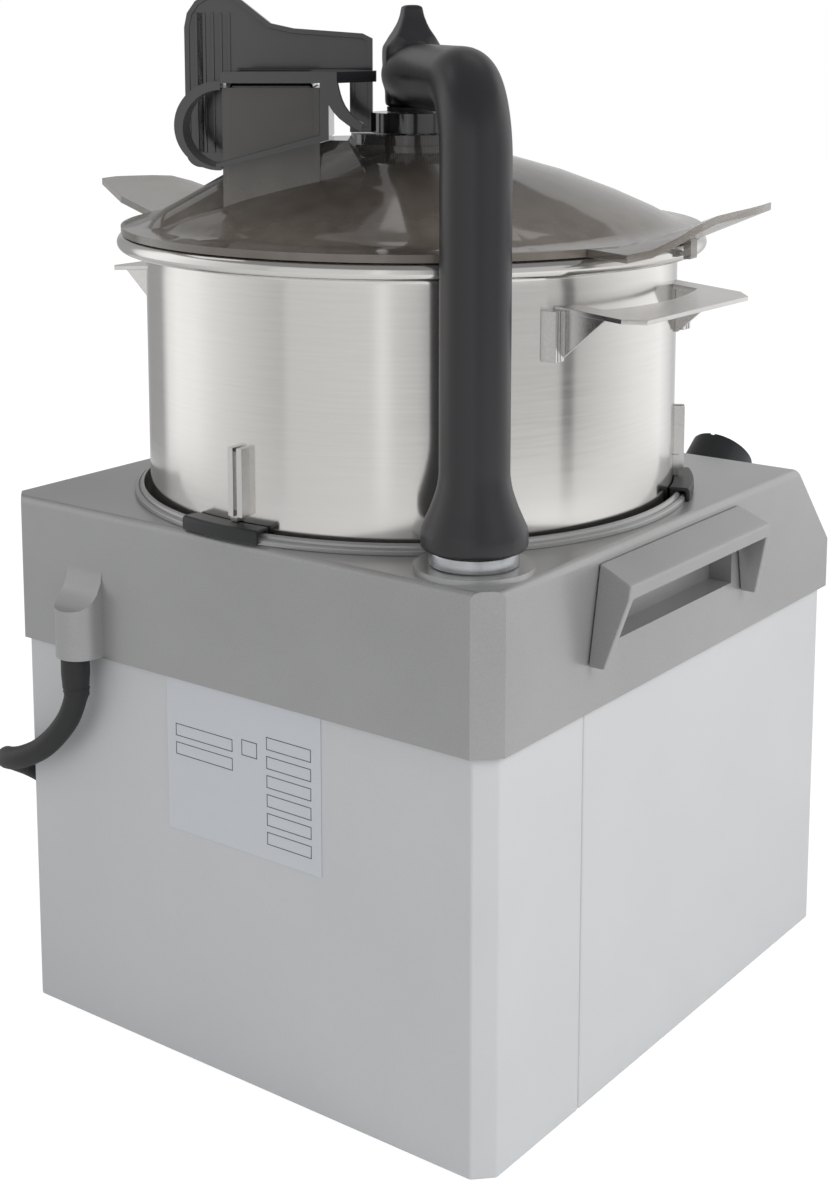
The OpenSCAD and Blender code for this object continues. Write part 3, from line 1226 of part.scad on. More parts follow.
module power_plug() color("#1a1a1b") at_plug() difference() {
  union() {
    cylinder(r1 = plug_neck_r - gap, r2 = plug_r * 0.8, h = plug_neck);
    translate([0, 0, plug_neck]) cylinder(r = plug_r, h = plug_l);
  }
  // Flats with grooves on both sides
  for (s = [-1, 1]) translate([s > 0 ? plug_r * 0.86 : -plug_r * 0.86 - plug_r, -plug_r, plug_neck - over])
    cube([plug_r, 2 * plug_r, plug_l + 2 * over]);
}
module plug_pins() color("#c8b26a") at_plug() for (s = [-1, 1]) translate([0, s * pin_pitch / 2, plug_neck + plug_l])
  cylinder(r = pin_r, h = pin_l, $fn = small_fn);

feet();
foot_screws();
bottom_plate();
rear_cover();
front_cover();
tie_posts();
top_housing();
bowl_seat();
side_grip_left();
side_grip_right();
bowl_clips();
rear_plate();
arm_collar();
arm_bushes();
safety_arm();
arm_pad();
arm_shaft();
arm_cam();
door_switch();
switch_plunger();
control_panel();
control_knob();
rotary_switch();
motor_top_bell();
motor_stator();
motor_windings();
motor_bottom_bell();
motor_bolts();
bearings();
shaft_seal();
motor_shaft();
motor_rotor();
motor_fan();
run_capacitor();
control_board();
board_standoffs();
terminal_block();
bowl_shell();
bowl_handle_left();
bowl_handle_right();
bowl_lugs();
knife_hub();
lower_blades();
upper_blades();
knife_nut();
lid_dome();
lid_wings();
lid_seal();
scraper_bush();
feed_cup();
cup_frame();
scraper_lever();
scraper_shaft();
scraper_frame();
scraper_wipers();
lead_gland();
power_cord();
power_cord_coil();
power_plug();
plug_pins();
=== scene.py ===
"""Looks of a six-litre vertical cutter mixer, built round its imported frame."""

import math

import bmesh
import bpy
import numpy as np
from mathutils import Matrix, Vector


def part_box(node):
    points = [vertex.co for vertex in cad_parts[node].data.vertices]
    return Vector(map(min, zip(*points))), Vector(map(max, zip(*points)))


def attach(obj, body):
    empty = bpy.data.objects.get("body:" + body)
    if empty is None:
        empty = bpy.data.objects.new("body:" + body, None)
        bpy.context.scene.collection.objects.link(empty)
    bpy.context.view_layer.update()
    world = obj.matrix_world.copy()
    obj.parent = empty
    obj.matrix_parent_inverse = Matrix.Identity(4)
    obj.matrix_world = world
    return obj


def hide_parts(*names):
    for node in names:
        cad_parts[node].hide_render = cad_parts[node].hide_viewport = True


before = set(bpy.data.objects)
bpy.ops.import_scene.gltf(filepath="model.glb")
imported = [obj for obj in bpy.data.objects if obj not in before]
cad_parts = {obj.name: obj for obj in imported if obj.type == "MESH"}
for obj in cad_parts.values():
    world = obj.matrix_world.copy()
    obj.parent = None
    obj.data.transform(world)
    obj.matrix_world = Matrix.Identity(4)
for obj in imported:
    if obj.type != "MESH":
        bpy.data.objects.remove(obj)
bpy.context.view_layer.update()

bl_info = {
    "name": "Cutter mixer",
    "version": (1, 0, 0),
    "blender": (4, 5, 0),
    "location": "3D View > Sidebar > Cutter mixer",
    "description": "Builds the surfaces, lead and studio of a vertical cutter mixer",
    "category": "Add Mesh",
}

MM = 0.001
BOWL_LOW, BOWL_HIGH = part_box("bowl_shell")
BASE_Y = (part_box("bottom_plate")[0].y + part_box("bottom_plate")[1].y) / 2
AXIS = ((BOWL_LOW.x + BOWL_HIGH.x) / 2, (BOWL_LOW.y + BOWL_HIGH.y) / 2)

# The camera: place and lens in millimetres, yaw and pitch in degrees, shift as a share of the frame
CAMERA_AT = (-556.7, 758.4, 490.1)
CAMERA_YAW = -53.14
CAMERA_PITCH = 8.89
CAMERA_LENS = 57.2
CAMERA_SHIFT = -0.23

# Light from all round: its colour, and its strength on matt surfaces and in gloss
SKY_COLOUR = (0.985, 0.99, 1.0, 1)
SKY_LIGHT = 0.43
SKY_GLOSS = 0.26
# The floor: radius in metres, the paper's grey, and the strength and share of white that the camera sees
FLOOR_R = 6.0
PAPER = 0.86
FLOOR_GLOW = 1.13
GLOW_SHARE = 0.86
# The wall seen in gloss: its radius, foot and height in metres
WALL_R = 1.3
WALL_FOOT = -0.05
WALL_TALL = 1.3
# The wall's level at each angle, in degrees from the camera's side
WALL_LEVELS = [
    (-180, 0.7), (-150, 0.35), (-128, 0.4), (-121, 0.95), (-112, 1.12), (-98, 1.08), (-86, 0.9), (-72, 0.75),
    (-60, 0.64), (-52, 0.58), (-49, 0.7), (-16, 0.74), (-11, 0.95), (-6, 0.72), (3, 0.6), (10, 0.3),
    (20, 0.55), (56, 0.6), (61, 0.6), (63, 0.2), (67, 0.2), (69, 0.55), (84, 0.75), (104, 0.98), (128, 1.12),
    (150, 0.6), (180, 0.7),
]
# Panels seen in gloss: name, degrees from the camera's side, degrees up, width and height in metres, level
PANELS = [
    ("panel_back", 165, 56, 0.9, 0.3, 0.9),
    ("panel_left", -118, 48, 0.7, 0.5, 0.9),
]
# A panel's distance from a point at this height above the middle of the floor, in metres
PANEL_AWAY = 2
PANEL_PIVOT = 0.35
# Soft boxes: name, place and side in metres, power in watts, colour. They are aimed at a point at this height
LIGHTS = [
    ("key", (-2.3, -0.1, 1.7), 1.6, 50, (1.0, 0.997, 0.985)),
    ("fill", (0.1, 2.5, 1.4), 1.8, 14, (1.0, 1.0, 1.0)),
    ("top", (0.3, -0.2, 2.6), 1.6, 3, (1.0, 1.0, 1.0)),
]
LIGHT_AIM = 0.25

# Finishes: noise scale for a drift of tone about every 70 mm, the span of noise over which the tone changes,
# and the strength of the relief
DRIFT_SCALE = 14.0
TONE_LOW = 0.65
TONE_HIGH = 1.35
RELIEF_STRENGTH = 0.6
# Copolyester's index of refraction, drawn above the usual 1.57 for the depth of its highlights
COPOLYESTER_IOR = 1.7
# Painted shade up the chute, for the black cup seen through the lid: where it starts and over what rise, in
# metres, and by how much in all
CHUTE_FROM = 0.400
CHUTE_RISE = 0.034
CHUTE_SHADE_SHARE = 0.85

# Meshes: distances in metres within which points are joined, the angle up to which CAD facets are one flat
# face, the angles from which an edge is kept sharp or rounded, and the weight of large faces in the shading
CAD_JOIN = 2e-6
OWN_JOIN = 1e-7
FLAT_ANGLE = 0.6
SHARP_ANGLE = 40
TUBE_SHARP_ANGLE = 50
ROUND_ANGLE = 28
EVEN_WEIGHT = 90

# The free run of the lead in millimetres, X and Z from the frame, Y from the middle of the base
LEAD_D = 11
LEAD_X = 89.7
GLAND_Y = 168.6
GLAND_Z = 188.2
COIL_X = 152
COIL_Y = -30
LEAD_ROUTE = [
    (LEAD_X, GLAND_Y, GLAND_Z), (LEAD_X, GLAND_Y, GLAND_Z - LEAD_D / 2), (LEAD_X, GLAND_Y, GLAND_Z - LEAD_D),
    (94, 169.5, 165.7), (102.5, 170.5, 154.7), (113, 171, 145.7), (126, 170.5, 138.7), (139, 167, 133.7),
    (151, 159, 128.7), (159, 147, 121.7), (163, 130, 110.7), (164, 110, 94.1), (163, 88, 71.9), (160, 64, 48),
    (156.5, 42.1, 28), (153.5, 21.9, 13.6), (COIL_X, 2, 0.6 * LEAD_D),
    (COIL_X, COIL_Y + LEAD_D + 6, LEAD_D / 2), (COIL_X, COIL_Y + LEAD_D, LEAD_D / 2),
    (COIL_X, COIL_Y + LEAD_D / 2, LEAD_D / 2),
]
LEAD_STEPS = 6
LEAD_SIDES = 20
# The coil: turns wound inwards on the floor, a part turn in which it climbs, then turns outwards on top
COIL_MID = 66
COIL_PITCH = 11.7
COIL_LIFT = 11.7
COIL_IN = 1.5
COIL_CLIMB = 0.5
COIL_OUT = 1.25
COIL_POINTS = 157
# The coil's tail in millimetres, and the share of it in which it levels with the plug
COIL_TAIL = 60
TAIL_LEVEL_SHARE = 0.85
TAIL_STEPS = 6
PLUG_R = 18.5
# The boot in millimetres: its radius, taper and ribs, its reach into the gland, the share of it that is
# plain, the ribs' run in radians, and how many of the route's points it covers
BOOT_R = 6.8
BOOT_TAPER = 1.0
BOOT_RIB = 0.25
BOOT_REACH = 9
BOOT_PLAIN_SHARE = 0.2
BOOT_WAVES = 40
BOOT_POINTS = 14
BOOT_SIDES = 28

# The rear plate's boxes as shares of its width and height: left, bottom, right and top, seen from behind
BOX_SHARES = [(0.06, 0.62, 0.44, 0.70), (0.06, 0.50, 0.44, 0.58), (0.50, 0.62, 0.60, 0.72)]
BOX_SHARES += [(0.66, 0.10 + 0.12 * i, 0.94, 0.18 + 0.12 * i) for i in range(6)]
RULE_WIDE = 0.35 * MM
RULE_DEEP = 0.08 * MM
# The six faces of a bar whose corners go round its near side and then round its far side
BAR_FACES = ((3, 2, 1, 0), (4, 5, 6, 7), (0, 1, 5, 4), (1, 2, 6, 5), (2, 3, 7, 6), (3, 0, 4, 7))

# The bowl: its outer radius, sheet, lower corner, rolled rim, and middle tube's radius and height
BOWL_R = 128.8 * MM
BOWL_SHEET = 1.5 * MM
BOWL_CORNER = 6 * MM
BOWL_ROLL = 3.9 * MM
BOWL_TUBE_R = 21 * MM
BOWL_TUBE_H = 66 * MM
# The rim's neck and throat below its top, in radii of the roll, and the share of the roll that is drawn
NECK_ROLLS = 4
THROAT_ROLLS = 2.6
ROLL_SHARE = 0.999
# Rings that keep the shading of straight stretches even: heights on the wall, shares of the outer radius
OUTER_RINGS = (30 * MM, 90 * MM)
INNER_RING_DOWN = 30 * MM
INNER_RING_UP = 60 * MM
FLOOR_RING_SHARES = (0.4, 0.8)
INNER_FLOOR_SHARE = 0.6

# The feed cup: its direction from the bowl's axis, and in millimetres the camera-side face of its frame from
# the axis and the top of its strip
FEED_ANGLE = math.radians(36.4)
CUP_FACE = 67
CUP_TOP = 464.6
# The strip's curved rib in millimetres: its top and thickness, then each edge's reach, lean, hook and drop
RIB_TOP = CUP_TOP + 3
RIB_THICK = 5
RIB_POINTS = 9
RIB_OUTER = (41, 7, 12, 25)
RIB_INNER = (33, 4, 8, 21)


class MixerSizes(bpy.types.PropertyGroup):
    """Sizes and colours that a user would change."""

    cast_round: bpy.props.FloatProperty(
        name="Casting edges", description="Radius on the housing's edges", default=1.6 * MM, unit="LENGTH")
    sheet_round: bpy.props.FloatProperty(
        name="Sheet edges", description="Radius on the folded sheet covers", default=1.2 * MM, unit="LENGTH")
    mould_round: bpy.props.FloatProperty(
        name="Moulding edges", description="Radius on moulded plastic edges", default=0.8 * MM, unit="LENGTH")
    fine_round: bpy.props.FloatProperty(
        name="Fine edges", description="Radius on thin sheet-metal parts", default=0.35 * MM, unit="LENGTH")
    cast_colour: bpy.props.StringProperty(
        name="Casting colour", description="Lacquer on the casting, as hex", default="#a8a8a8")
    cover_colour: bpy.props.StringProperty(
        name="Cover colour", description="Sheet covers, as hex", default="#c9cbcd")
    arm_colour: bpy.props.StringProperty(
        name="Arm colour", description="Moulded safety arm, as hex", default="#232225")


def sizes():
    """The sizes and colours set on the scene."""
    return bpy.context.scene.cutter_mixer


def linear(colour, alpha=1.0):
    """An sRGB hex colour as linear RGBA: below 0.04045 a straight share, above it a power of 2.4."""
    share = [int(colour[i:i + 2], 16) / 255 for i in (1, 3, 5)]
    return (*[c / 12.92 if c <= 0.04045 else ((c + 0.055) / 1.055) ** 2.4 for c in share], alpha)


def node(tree, kind, sockets=None, **settings):
    """A shader node with its settings, its values and its links, which are given as output sockets."""
    made = tree.nodes.new(kind)
    for name, value in settings.items():
        setattr(made, name, value)
    for name, value in (sockets or {}).items():
        if isinstance(value, bpy.types.NodeSocket):
            tree.links.new(value, made.inputs[name])
        else:
            made.inputs[name].default_value = value
    return made


def surface(name, colour, dark, rough, grain, relief, metallic=0.0, stretch=(1, 1, 1), rough_span=0.06,
            spun=0.0, coat=(), **sockets):
    """A finish from two noise patterns on Object coordinates: a broad one drifts the colour between two
    tones, and a fine one of the given grain, in millimetres, varies the roughness and lifts the surface by
    relief. A spun share draws highlights out upright, across the tool marks that run round the Z axis. A coat
    is given as its weight and roughness."""
    found = bpy.data.materials.get(name)
    if found:
        return found
    made = bpy.data.materials.new(name)
    made.use_nodes = True
    tree = made.node_tree
    shader = tree.nodes["Principled BSDF"]
    place = node(tree, "ShaderNodeTexCoord").outputs["Object"]
    drawn = node(tree, "ShaderNodeMapping", {"Vector": place, "Scale": stretch}).outputs["Vector"]
    broad = node(tree, "ShaderNodeTexNoise", {"Vector": drawn, "Scale": DRIFT_SCALE, "Detail": 3.0})
    fine = node(tree, "ShaderNodeTexNoise", {"Vector": drawn, "Scale": 1000 / grain, "Detail": 2.0})
    blend = node(tree, "ShaderNodeMath", {0: broad.outputs["Fac"], 1: fine.outputs["Fac"]}, operation="ADD")
    tone = node(tree, "ShaderNodeMapRange", {"Value": blend.outputs[0], "From Min": TONE_LOW,
                                             "From Max": TONE_HIGH})
    paint = node(tree, "ShaderNodeMix", {"Factor": tone.outputs["Result"]}, data_type="RGBA")
    # The colour sockets of a Mix node share their names with its number sockets
    for socket, value in (("A", dark), ("B", colour)):
        [s for s in paint.inputs if s.name == socket and s.type == "RGBA"][0].default_value = linear(value)
    mixed = [s for s in paint.outputs if s.type == "RGBA"][0]
    tree.links.new(mixed, shader.inputs["Base Color"])
    gloss = node(tree, "ShaderNodeMapRange", {"Value": fine.outputs["Fac"], "To Min": rough - rough_span,
                                              "To Max": rough + rough_span})
    tree.links.new(gloss.outputs["Result"], shader.inputs["Roughness"])
    bump = node(tree, "ShaderNodeBump", {"Height": fine.outputs["Fac"], "Strength": RELIEF_STRENGTH,
                                         "Distance": relief * MM})
    tree.links.new(bump.outputs["Normal"], shader.inputs["Normal"])
    shader.inputs["Metallic"].default_value = metallic
    if spun:
        marks = node(tree, "ShaderNodeTangent", direction_type="RADIAL", axis="Z")
        tree.links.new(marks.outputs["Tangent"], shader.inputs["Tangent"])
        shader.inputs["Anisotropic"].default_value = spun
        # A quarter turn, from along the marks to across them
        shader.inputs["Anisotropic Rotation"].default_value = 0.25
    for socket, value in (*sockets.items(), *zip(("Coat Weight", "Coat Roughness"), coat)):
        shader.inputs[socket].default_value = value
    return made


def cast_lacquer():
    # Metallic grey lacquer on sand-cast aluminium: soft sheen with a faint sparkle
    return surface("cast_aluminium_grey_lacquer", sizes().cast_colour, "#9c9c9c", rough=0.34, grain=0.7,
                   relief=0.02, metallic=0.55, coat=(0.25, 0.12))


def cover_sheet():
    # Anodised aluminium sheet: pale and even, with a fine matt grain
    return surface("anodised_aluminium_sheet", sizes().cover_colour, "#c4c6c9", rough=0.45, grain=0.8,
                   relief=0.006, metallic=0.2)


def bowl_steel():
    # Spun stainless steel, polished round its axis: mirror with fine rings drawn wider than real ones
    return surface("spun_stainless_steel", "#e2e0dd", "#dddbd8", rough=0.14, grain=1.4, relief=0.001,
                   metallic=1.0, stretch=(0.04, 0.04, 1), rough_span=0.03, spun=0.75)


def pressed_steel():
    # Tumbled stainless pressings: duller than the bowl
    return surface("tumbled_stainless_steel", "#dbdad8", "#cfcdcb", rough=0.2, grain=1.2, relief=0.01,
                   metallic=1.0)


def turned_steel():
    # Turned steel: bright, with rings of tool marks drawn wider than real ones
    return surface("turned_steel", "#c5c8cb", "#b2b5b8", rough=0.25, grain=1.0, relief=0.02, metallic=1.0,
                   stretch=(0.1, 0.1, 1))


def ground_blade():
    # Ground blade steel: bright, with grinding lines drawn wider than real ones
    return surface("ground_blade_steel", "#dcdcdc", "#c8c8c8", rough=0.2, grain=0.8, relief=0.01,
                   metallic=1.0, stretch=(1, 0.08, 1))


def smoked_moulding():
    # Smoke-tinted copolyester, glossy; painted shade darkens it up the feed chute, where the black cup stands
    # behind it
    made = surface("smoked_copolyester", "#776f67", "#655e57", rough=0.09, grain=9.0, relief=0.008,
                   rough_span=0.03, coat=(0.4, 0.06), Alpha=0.9, IOR=COPOLYESTER_IOR)
    tree = made.node_tree
    if "chute" not in tree.nodes:
        shader = tree.nodes["Principled BSDF"]
        tint = shader.inputs["Base Color"].links[0].from_socket
        height = node(tree, "ShaderNodeSeparateXYZ", {0: node(tree, "ShaderNodeTexCoord").outputs["Object"]})
        rise = node(tree, "ShaderNodeMapRange", {"Value": height.outputs["Z"], "From Min": CHUTE_FROM,
                                                 "From Max": CHUTE_FROM + CHUTE_RISE, "To Max": CHUTE_SHADE_SHARE})
        # Painted shade: the tint is mixed towards near black up the chute
        dark = node(tree, "ShaderNodeMixRGB", {"Fac": rise.outputs["Result"], "Color1": tint,
                                               "Color2": linear("#161514")}, name="chute")
        tree.links.new(dark.outputs["Color"], shader.inputs["Base Color"])
    return made


def smoked_wing():
    # The same copolyester in a thin sheet: paler and clearer
    return surface("smoked_copolyester_sheet", "#7d766d", "#706960", rough=0.08, grain=9.0, relief=0.008,
                   rough_span=0.02, coat=(0.5, 0.04), Alpha=0.7, IOR=COPOLYESTER_IOR)


def smoked_black():
    # The same copolyester tinted until it is all but opaque
    return surface("deep_smoked_copolyester", "#1f1d1c", "#191817", rough=0.1, grain=9.0, relief=0.01,
                   rough_span=0.02, coat=(0.5, 0.03), Alpha=0.98, IOR=COPOLYESTER_IOR)


def arm_moulding():
    # Glass-filled nylon, spark-eroded finish: dark grey with a soft broad highlight
    return surface("glass_filled_nylon", sizes().arm_colour, "#1f1e21", rough=0.36, grain=0.8, relief=0.012,
                   IOR=1.53)


def black_moulding():
    # Polished black copolyester: deep black with a sharp highlight
    return surface("black_copolyester", "#252527", "#1f1f21", rough=0.14, grain=6.0, relief=0.01,
                   rough_span=0.03, coat=(0.4, 0.05), IOR=COPOLYESTER_IOR)


def satin_black():
    # Moulded black acetal: satin, with a soft highlight
    return surface("moulded_black_acetal", "#242527", "#1c1d1f", rough=0.38, grain=0.9, relief=0.03, IOR=1.48)


def lead_rubber():
    # Rubber-sheathed flex: matt black with a faint grey bloom
    return surface("rubber_flex_sheath", "#242426", "#1a1a1b", rough=0.55, grain=1.5, relief=0.04, IOR=1.5)


def ivory_acetal():
    # Natural acetal: warm white with a waxy sheen
    return surface("ivory_acetal", "#e6e3da", "#dad6cc", rough=0.35, grain=1.5, relief=0.02, IOR=1.48)


def label_film():
    # Satin silver polyester film: smooth and even, a little bluer than the cover
    return surface("satin_label_film", "#cdd0d6", "#c9ccd2", rough=0.32, grain=0.6, relief=0.001,
                   metallic=0.3)


def ink():
    # Screen ink: flat dark grey
    return surface("screen_ink", "#4a4d55", "#42454c", rough=0.5, grain=2.0, relief=0.005)


def copper_wire():
    # Enamelled copper wire: glossy red-brown, with the wires drawn as upright streaks
    return surface("enamelled_copper_wire", "#a35a2a", "#8c481e", rough=0.3, grain=1.0, relief=0.2,
                   metallic=0.8, stretch=(1, 1, 0.1))


def brass():
    # Nickelled brass: pale yellow metal
    return surface("nickelled_brass", "#cbb77c", "#b9a468", rough=0.28, grain=1.0, relief=0.02, metallic=1.0)


def core_iron():
    # Laminated core iron: dull grey, with the sheets' edges as fine level lines
    return surface("laminated_core_iron", "#7c8084", "#63676b", rough=0.45, grain=0.9, relief=0.2,
                   metallic=0.9, stretch=(0.02, 0.02, 1))


def board_resin():
    # Glass-epoxy board: green and half matt
    return surface("glass_epoxy_board", "#2f6b45", "#27593a", rough=0.4, grain=1.2, relief=0.02)


def red_acetal():
    # Red acetal: a warning red with a waxy sheen
    return surface("red_acetal", "#c23a2b", "#ab3124", rough=0.35, grain=1.5, relief=0.02, IOR=1.48)


def dress(obj, material, body, stands_for=()):
    """Gives a new piece its finish, body and the CAD nodes that it stands for."""
    obj.data.materials.clear()
    obj.data.materials.append(material)
    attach(obj, body)
    if stands_for:
        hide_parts(*stands_for)
    return obj


def placed(name, mesh):
    """An object at the origin that shows a mesh."""
    obj = bpy.data.objects.new(name, mesh)
    bpy.context.scene.collection.objects.link(obj)
    return obj


def mesh_piece(name, points, faces, sharp=SHARP_ANGLE):
    """A mesh object at the origin from points, in metres, and faces. It is smooth but for edges that turn by
    more than sharp degrees, or flat all over where sharp is None."""
    mesh = bpy.data.meshes.new(name)
    mesh.from_pydata(np.asarray(points, float).tolist(), [], [[int(i) for i in face] for face in faces])
    mesh.validate()
    if sharp is not None:
        mesh.shade_smooth()
        mesh.set_sharp_from_angle(angle=math.radians(sharp))
    return placed(name, mesh)


def outward(obj):
    """Turns every face of a closed mesh outwards."""
    shape = bmesh.new()
    shape.from_mesh(obj.data)
    bmesh.ops.remove_doubles(shape, verts=shape.verts, dist=OWN_JOIN)
    bmesh.ops.recalc_face_normals(shape, faces=shape.faces)
    shape.to_mesh(obj.data)
    shape.free()
    return obj


def grid_faces(rows, columns):
    """Quads of a closed grid: each row joins the next and the last joins the first, and so do the columns."""
    r, c = np.meshgrid(np.arange(rows), np.arange(columns), indexing="ij")
    r2, c2 = (r + 1) % rows, (c + 1) % columns
    corners = [r * columns + c, r * columns + c2, r2 * columns + c2, r2 * columns + c]
    return np.stack(corners, -1).reshape(-1, 4)


def turn(steps):
    """Angles in radians that share out one full turn."""
    return np.linspace(0, 2 * np.pi, steps, endpoint=False)


def ring(radius, height, sides=96):
    """Points of a level circle: (radius cos a, radius sin a, height)."""
    a = turn(sides)
    return np.stack([radius * np.cos(a), radius * np.sin(a), height + 0 * a], -1)


def arc(centre, radius, start, end, steps=10):
    """Points of an arc in degrees about a centre, as (radius, height) pairs."""
    a = np.radians(np.linspace(start, end, steps))
    return np.stack([centre[0] + radius * np.cos(a), centre[1] + radius * np.sin(a)], -1)


def ease(x):
    """A rise from 0 to 1 that starts and ends level: half of 1 - cos(pi x), with x kept from 0 to 1."""
    return (1 - np.cos(np.pi * np.clip(x, 0, 1))) / 2


def lathe(name, outline, centre, segments=256):
    """A closed outline of (radius, height) points turned about an upright axis: point = (r cos a, r sin a,
    z)."""
    a = turn(segments)[:, None]
    r, z = np.asarray(outline, float).T
    points = np.stack([centre[0] + r * np.cos(a), centre[1] + r * np.sin(a), z + 0 * a], -1)
    return outward(mesh_piece(name, points.reshape(-1, 3), grid_faces(segments, len(z))))


def tube(name, path, radii, sides):
    """A closed tube: rings of the given radii across a path, each turned from the last by the least angle."""
    p = np.asarray(path, float)
    along = np.gradient(p, axis=0)
    along /= np.linalg.norm(along, axis=1)[:, None]
    side = np.zeros_like(p)
    # Any direction off the path gives the first ring its side
    off_path = (0.3, 0.2, 0.9)
    side[0] = np.cross(along[0], off_path)
    side[0] /= np.linalg.norm(side[0])
    for i in range(1, len(p)):
        side[i] = side[i - 1] - side[i - 1] @ along[i] * along[i]
        side[i] /= np.linalg.norm(side[i])
    across = np.cross(along, side)
    a = turn(sides)[None, :, None]
    out = np.cos(a) * side[:, None] + np.sin(a) * across[:, None]
    rings = p[:, None] + np.asarray(radii)[:, None, None] * out
    last = (len(p) - 1) * sides
    faces = [*grid_faces(len(p), sides)[:last], range(sides - 1, -1, -1), range(last, last + sides)]
    return outward(mesh_piece(name, rings.reshape(-1, 3), faces, TUBE_SHARP_ANGLE))


def round_edges(obj, radius, segments=2, miter="MITER_SHARP"):
    """Gives edges the small radius that real ones have, and flat faces an even shading."""
    edge = obj.modifiers.new("edge", "BEVEL")
    edge.width = radius
    edge.segments = segments
    edge.limit_method = "ANGLE"
    edge.angle_limit = math.radians(ROUND_ANGLE)
    edge.miter_outer = miter
    obj.modifiers.new("even", "WEIGHTED_NORMAL").weight = EVEN_WEIGHT


def merged_copy(nodes, name):
    """One clean mesh from copies of CAD nodes, with their doubled points joined and flat faces made whole."""
    shape = bmesh.new()
    for n in nodes:
        shape.from_mesh(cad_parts[n].data)
    bmesh.ops.remove_doubles(shape, verts=shape.verts, dist=CAD_JOIN)
    bmesh.ops.dissolve_limit(shape, angle_limit=math.radians(FLAT_ANGLE), verts=shape.verts,
                             edges=shape.edges)
    mesh = bpy.data.meshes.new(name)
    shape.to_mesh(mesh)
    shape.free()
    return placed(name, mesh)


def softened(nodes, name, radius, material, body, segments=2):
    """CAD nodes with the small radius that a real edge has, and even shading across flat faces."""
    obj = merged_copy(nodes, name)
    obj.data.shade_smooth()
    round_edges(obj, radius, segments, "MITER_ARC")
    return dress(obj, material, body, nodes)


def blended(nodes, name, voxel, passes, material, body):
    """CAD nodes as one moulding whose inner corners flow together: remeshed to even cells, then relaxed."""
    obj = merged_copy(nodes, name)
    cells = obj.modifiers.new("cells", "REMESH")
    cells.mode = "VOXEL"
    cells.voxel_size = voxel
    cells.use_smooth_shade = True
    relax = obj.modifiers.new("relax", "SMOOTH")
    relax.factor = 0.5
    relax.iterations = passes
    done = bpy.data.meshes.new_from_object(obj.evaluated_get(bpy.context.evaluated_depsgraph_get()))
    obj.modifiers.clear()
    obj.data = done
    obj.data.shade_smooth()
    return dress(obj, material, body, nodes)


def refinish(material, slot, *names):
    """A finish for CAD nodes whose own shape stays."""
    for n in names:
        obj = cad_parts[n]
        obj.data.materials.clear()
        obj.data.materials.append(material)


def smooth_run(points, steps):
    """A smooth line through points. From b to c, with a before them and d after, it is half of
    2b + (c - a)t + (2a - 5b + 4c - d)t2 + (3b - a - 3c + d)t3."""
    p = np.asarray(points, float)
    a, b, c, d = p[[0, *range(len(p) - 2)]], p[:-1], p[1:], p[[*range(2, len(p)), len(p) - 1]]
    t = (np.arange(steps) / steps)[None, :, None]
    a, b, c, d = (x[:, None] for x in (a, b, c, d))
    run = 0.5 * (2 * b + (c - a) * t + (2 * a - 5 * b + 4 * c - d) * t**2 + (3 * b - a - 3 * c + d) * t**3)
    return np.vstack([run.reshape(-1, 3), p[-1:]])


def coil_run():
    """The coil's centre line: its radius falls by a pitch each turn until half way up the climb to the second
    layer, and then grows again by as much. It ends in a straight tail that eases to the plug's height."""
    start_r = COIL_MID + COIL_IN / 2 * COIL_PITCH
    t = np.linspace(0, COIL_IN + COIL_CLIMB + COIL_OUT, COIL_POINTS)
    climb = t - COIL_IN
    r = start_r - COIL_PITCH * (COIL_IN + np.minimum(climb, COIL_CLIMB - climb))
    z = LEAD_D / 2 + COIL_LIFT * ease(climb / COIL_CLIMB)
    a = np.pi + 2 * np.pi * t
    turns = np.stack([COIL_X + start_r + r * np.cos(a), COIL_Y + r * np.sin(a), z], -1)
    end = turns[-1]
    v = np.arange(1, TAIL_STEPS + 1)[:, None] / TAIL_STEPS
    tail_z = end[2] + (PLUG_R - end[2]) * ease(v / TAIL_LEVEL_SHARE)
    tail = np.hstack([end[0] + COIL_TAIL * v, end[1] + 0 * v, tail_z])
    return np.vstack([turns, tail])


def base_frame(points):
    """Points in millimetres from the middle of the base to metres in the frame."""
    return np.asarray(points, float) * MM + (0, BASE_Y, 0)


def unlit(kinds, name):
    """A new material or world whose node tree is empty."""
    made = kinds.new(name)
    made.use_nodes = True
    made.node_tree.nodes.clear()
    return made


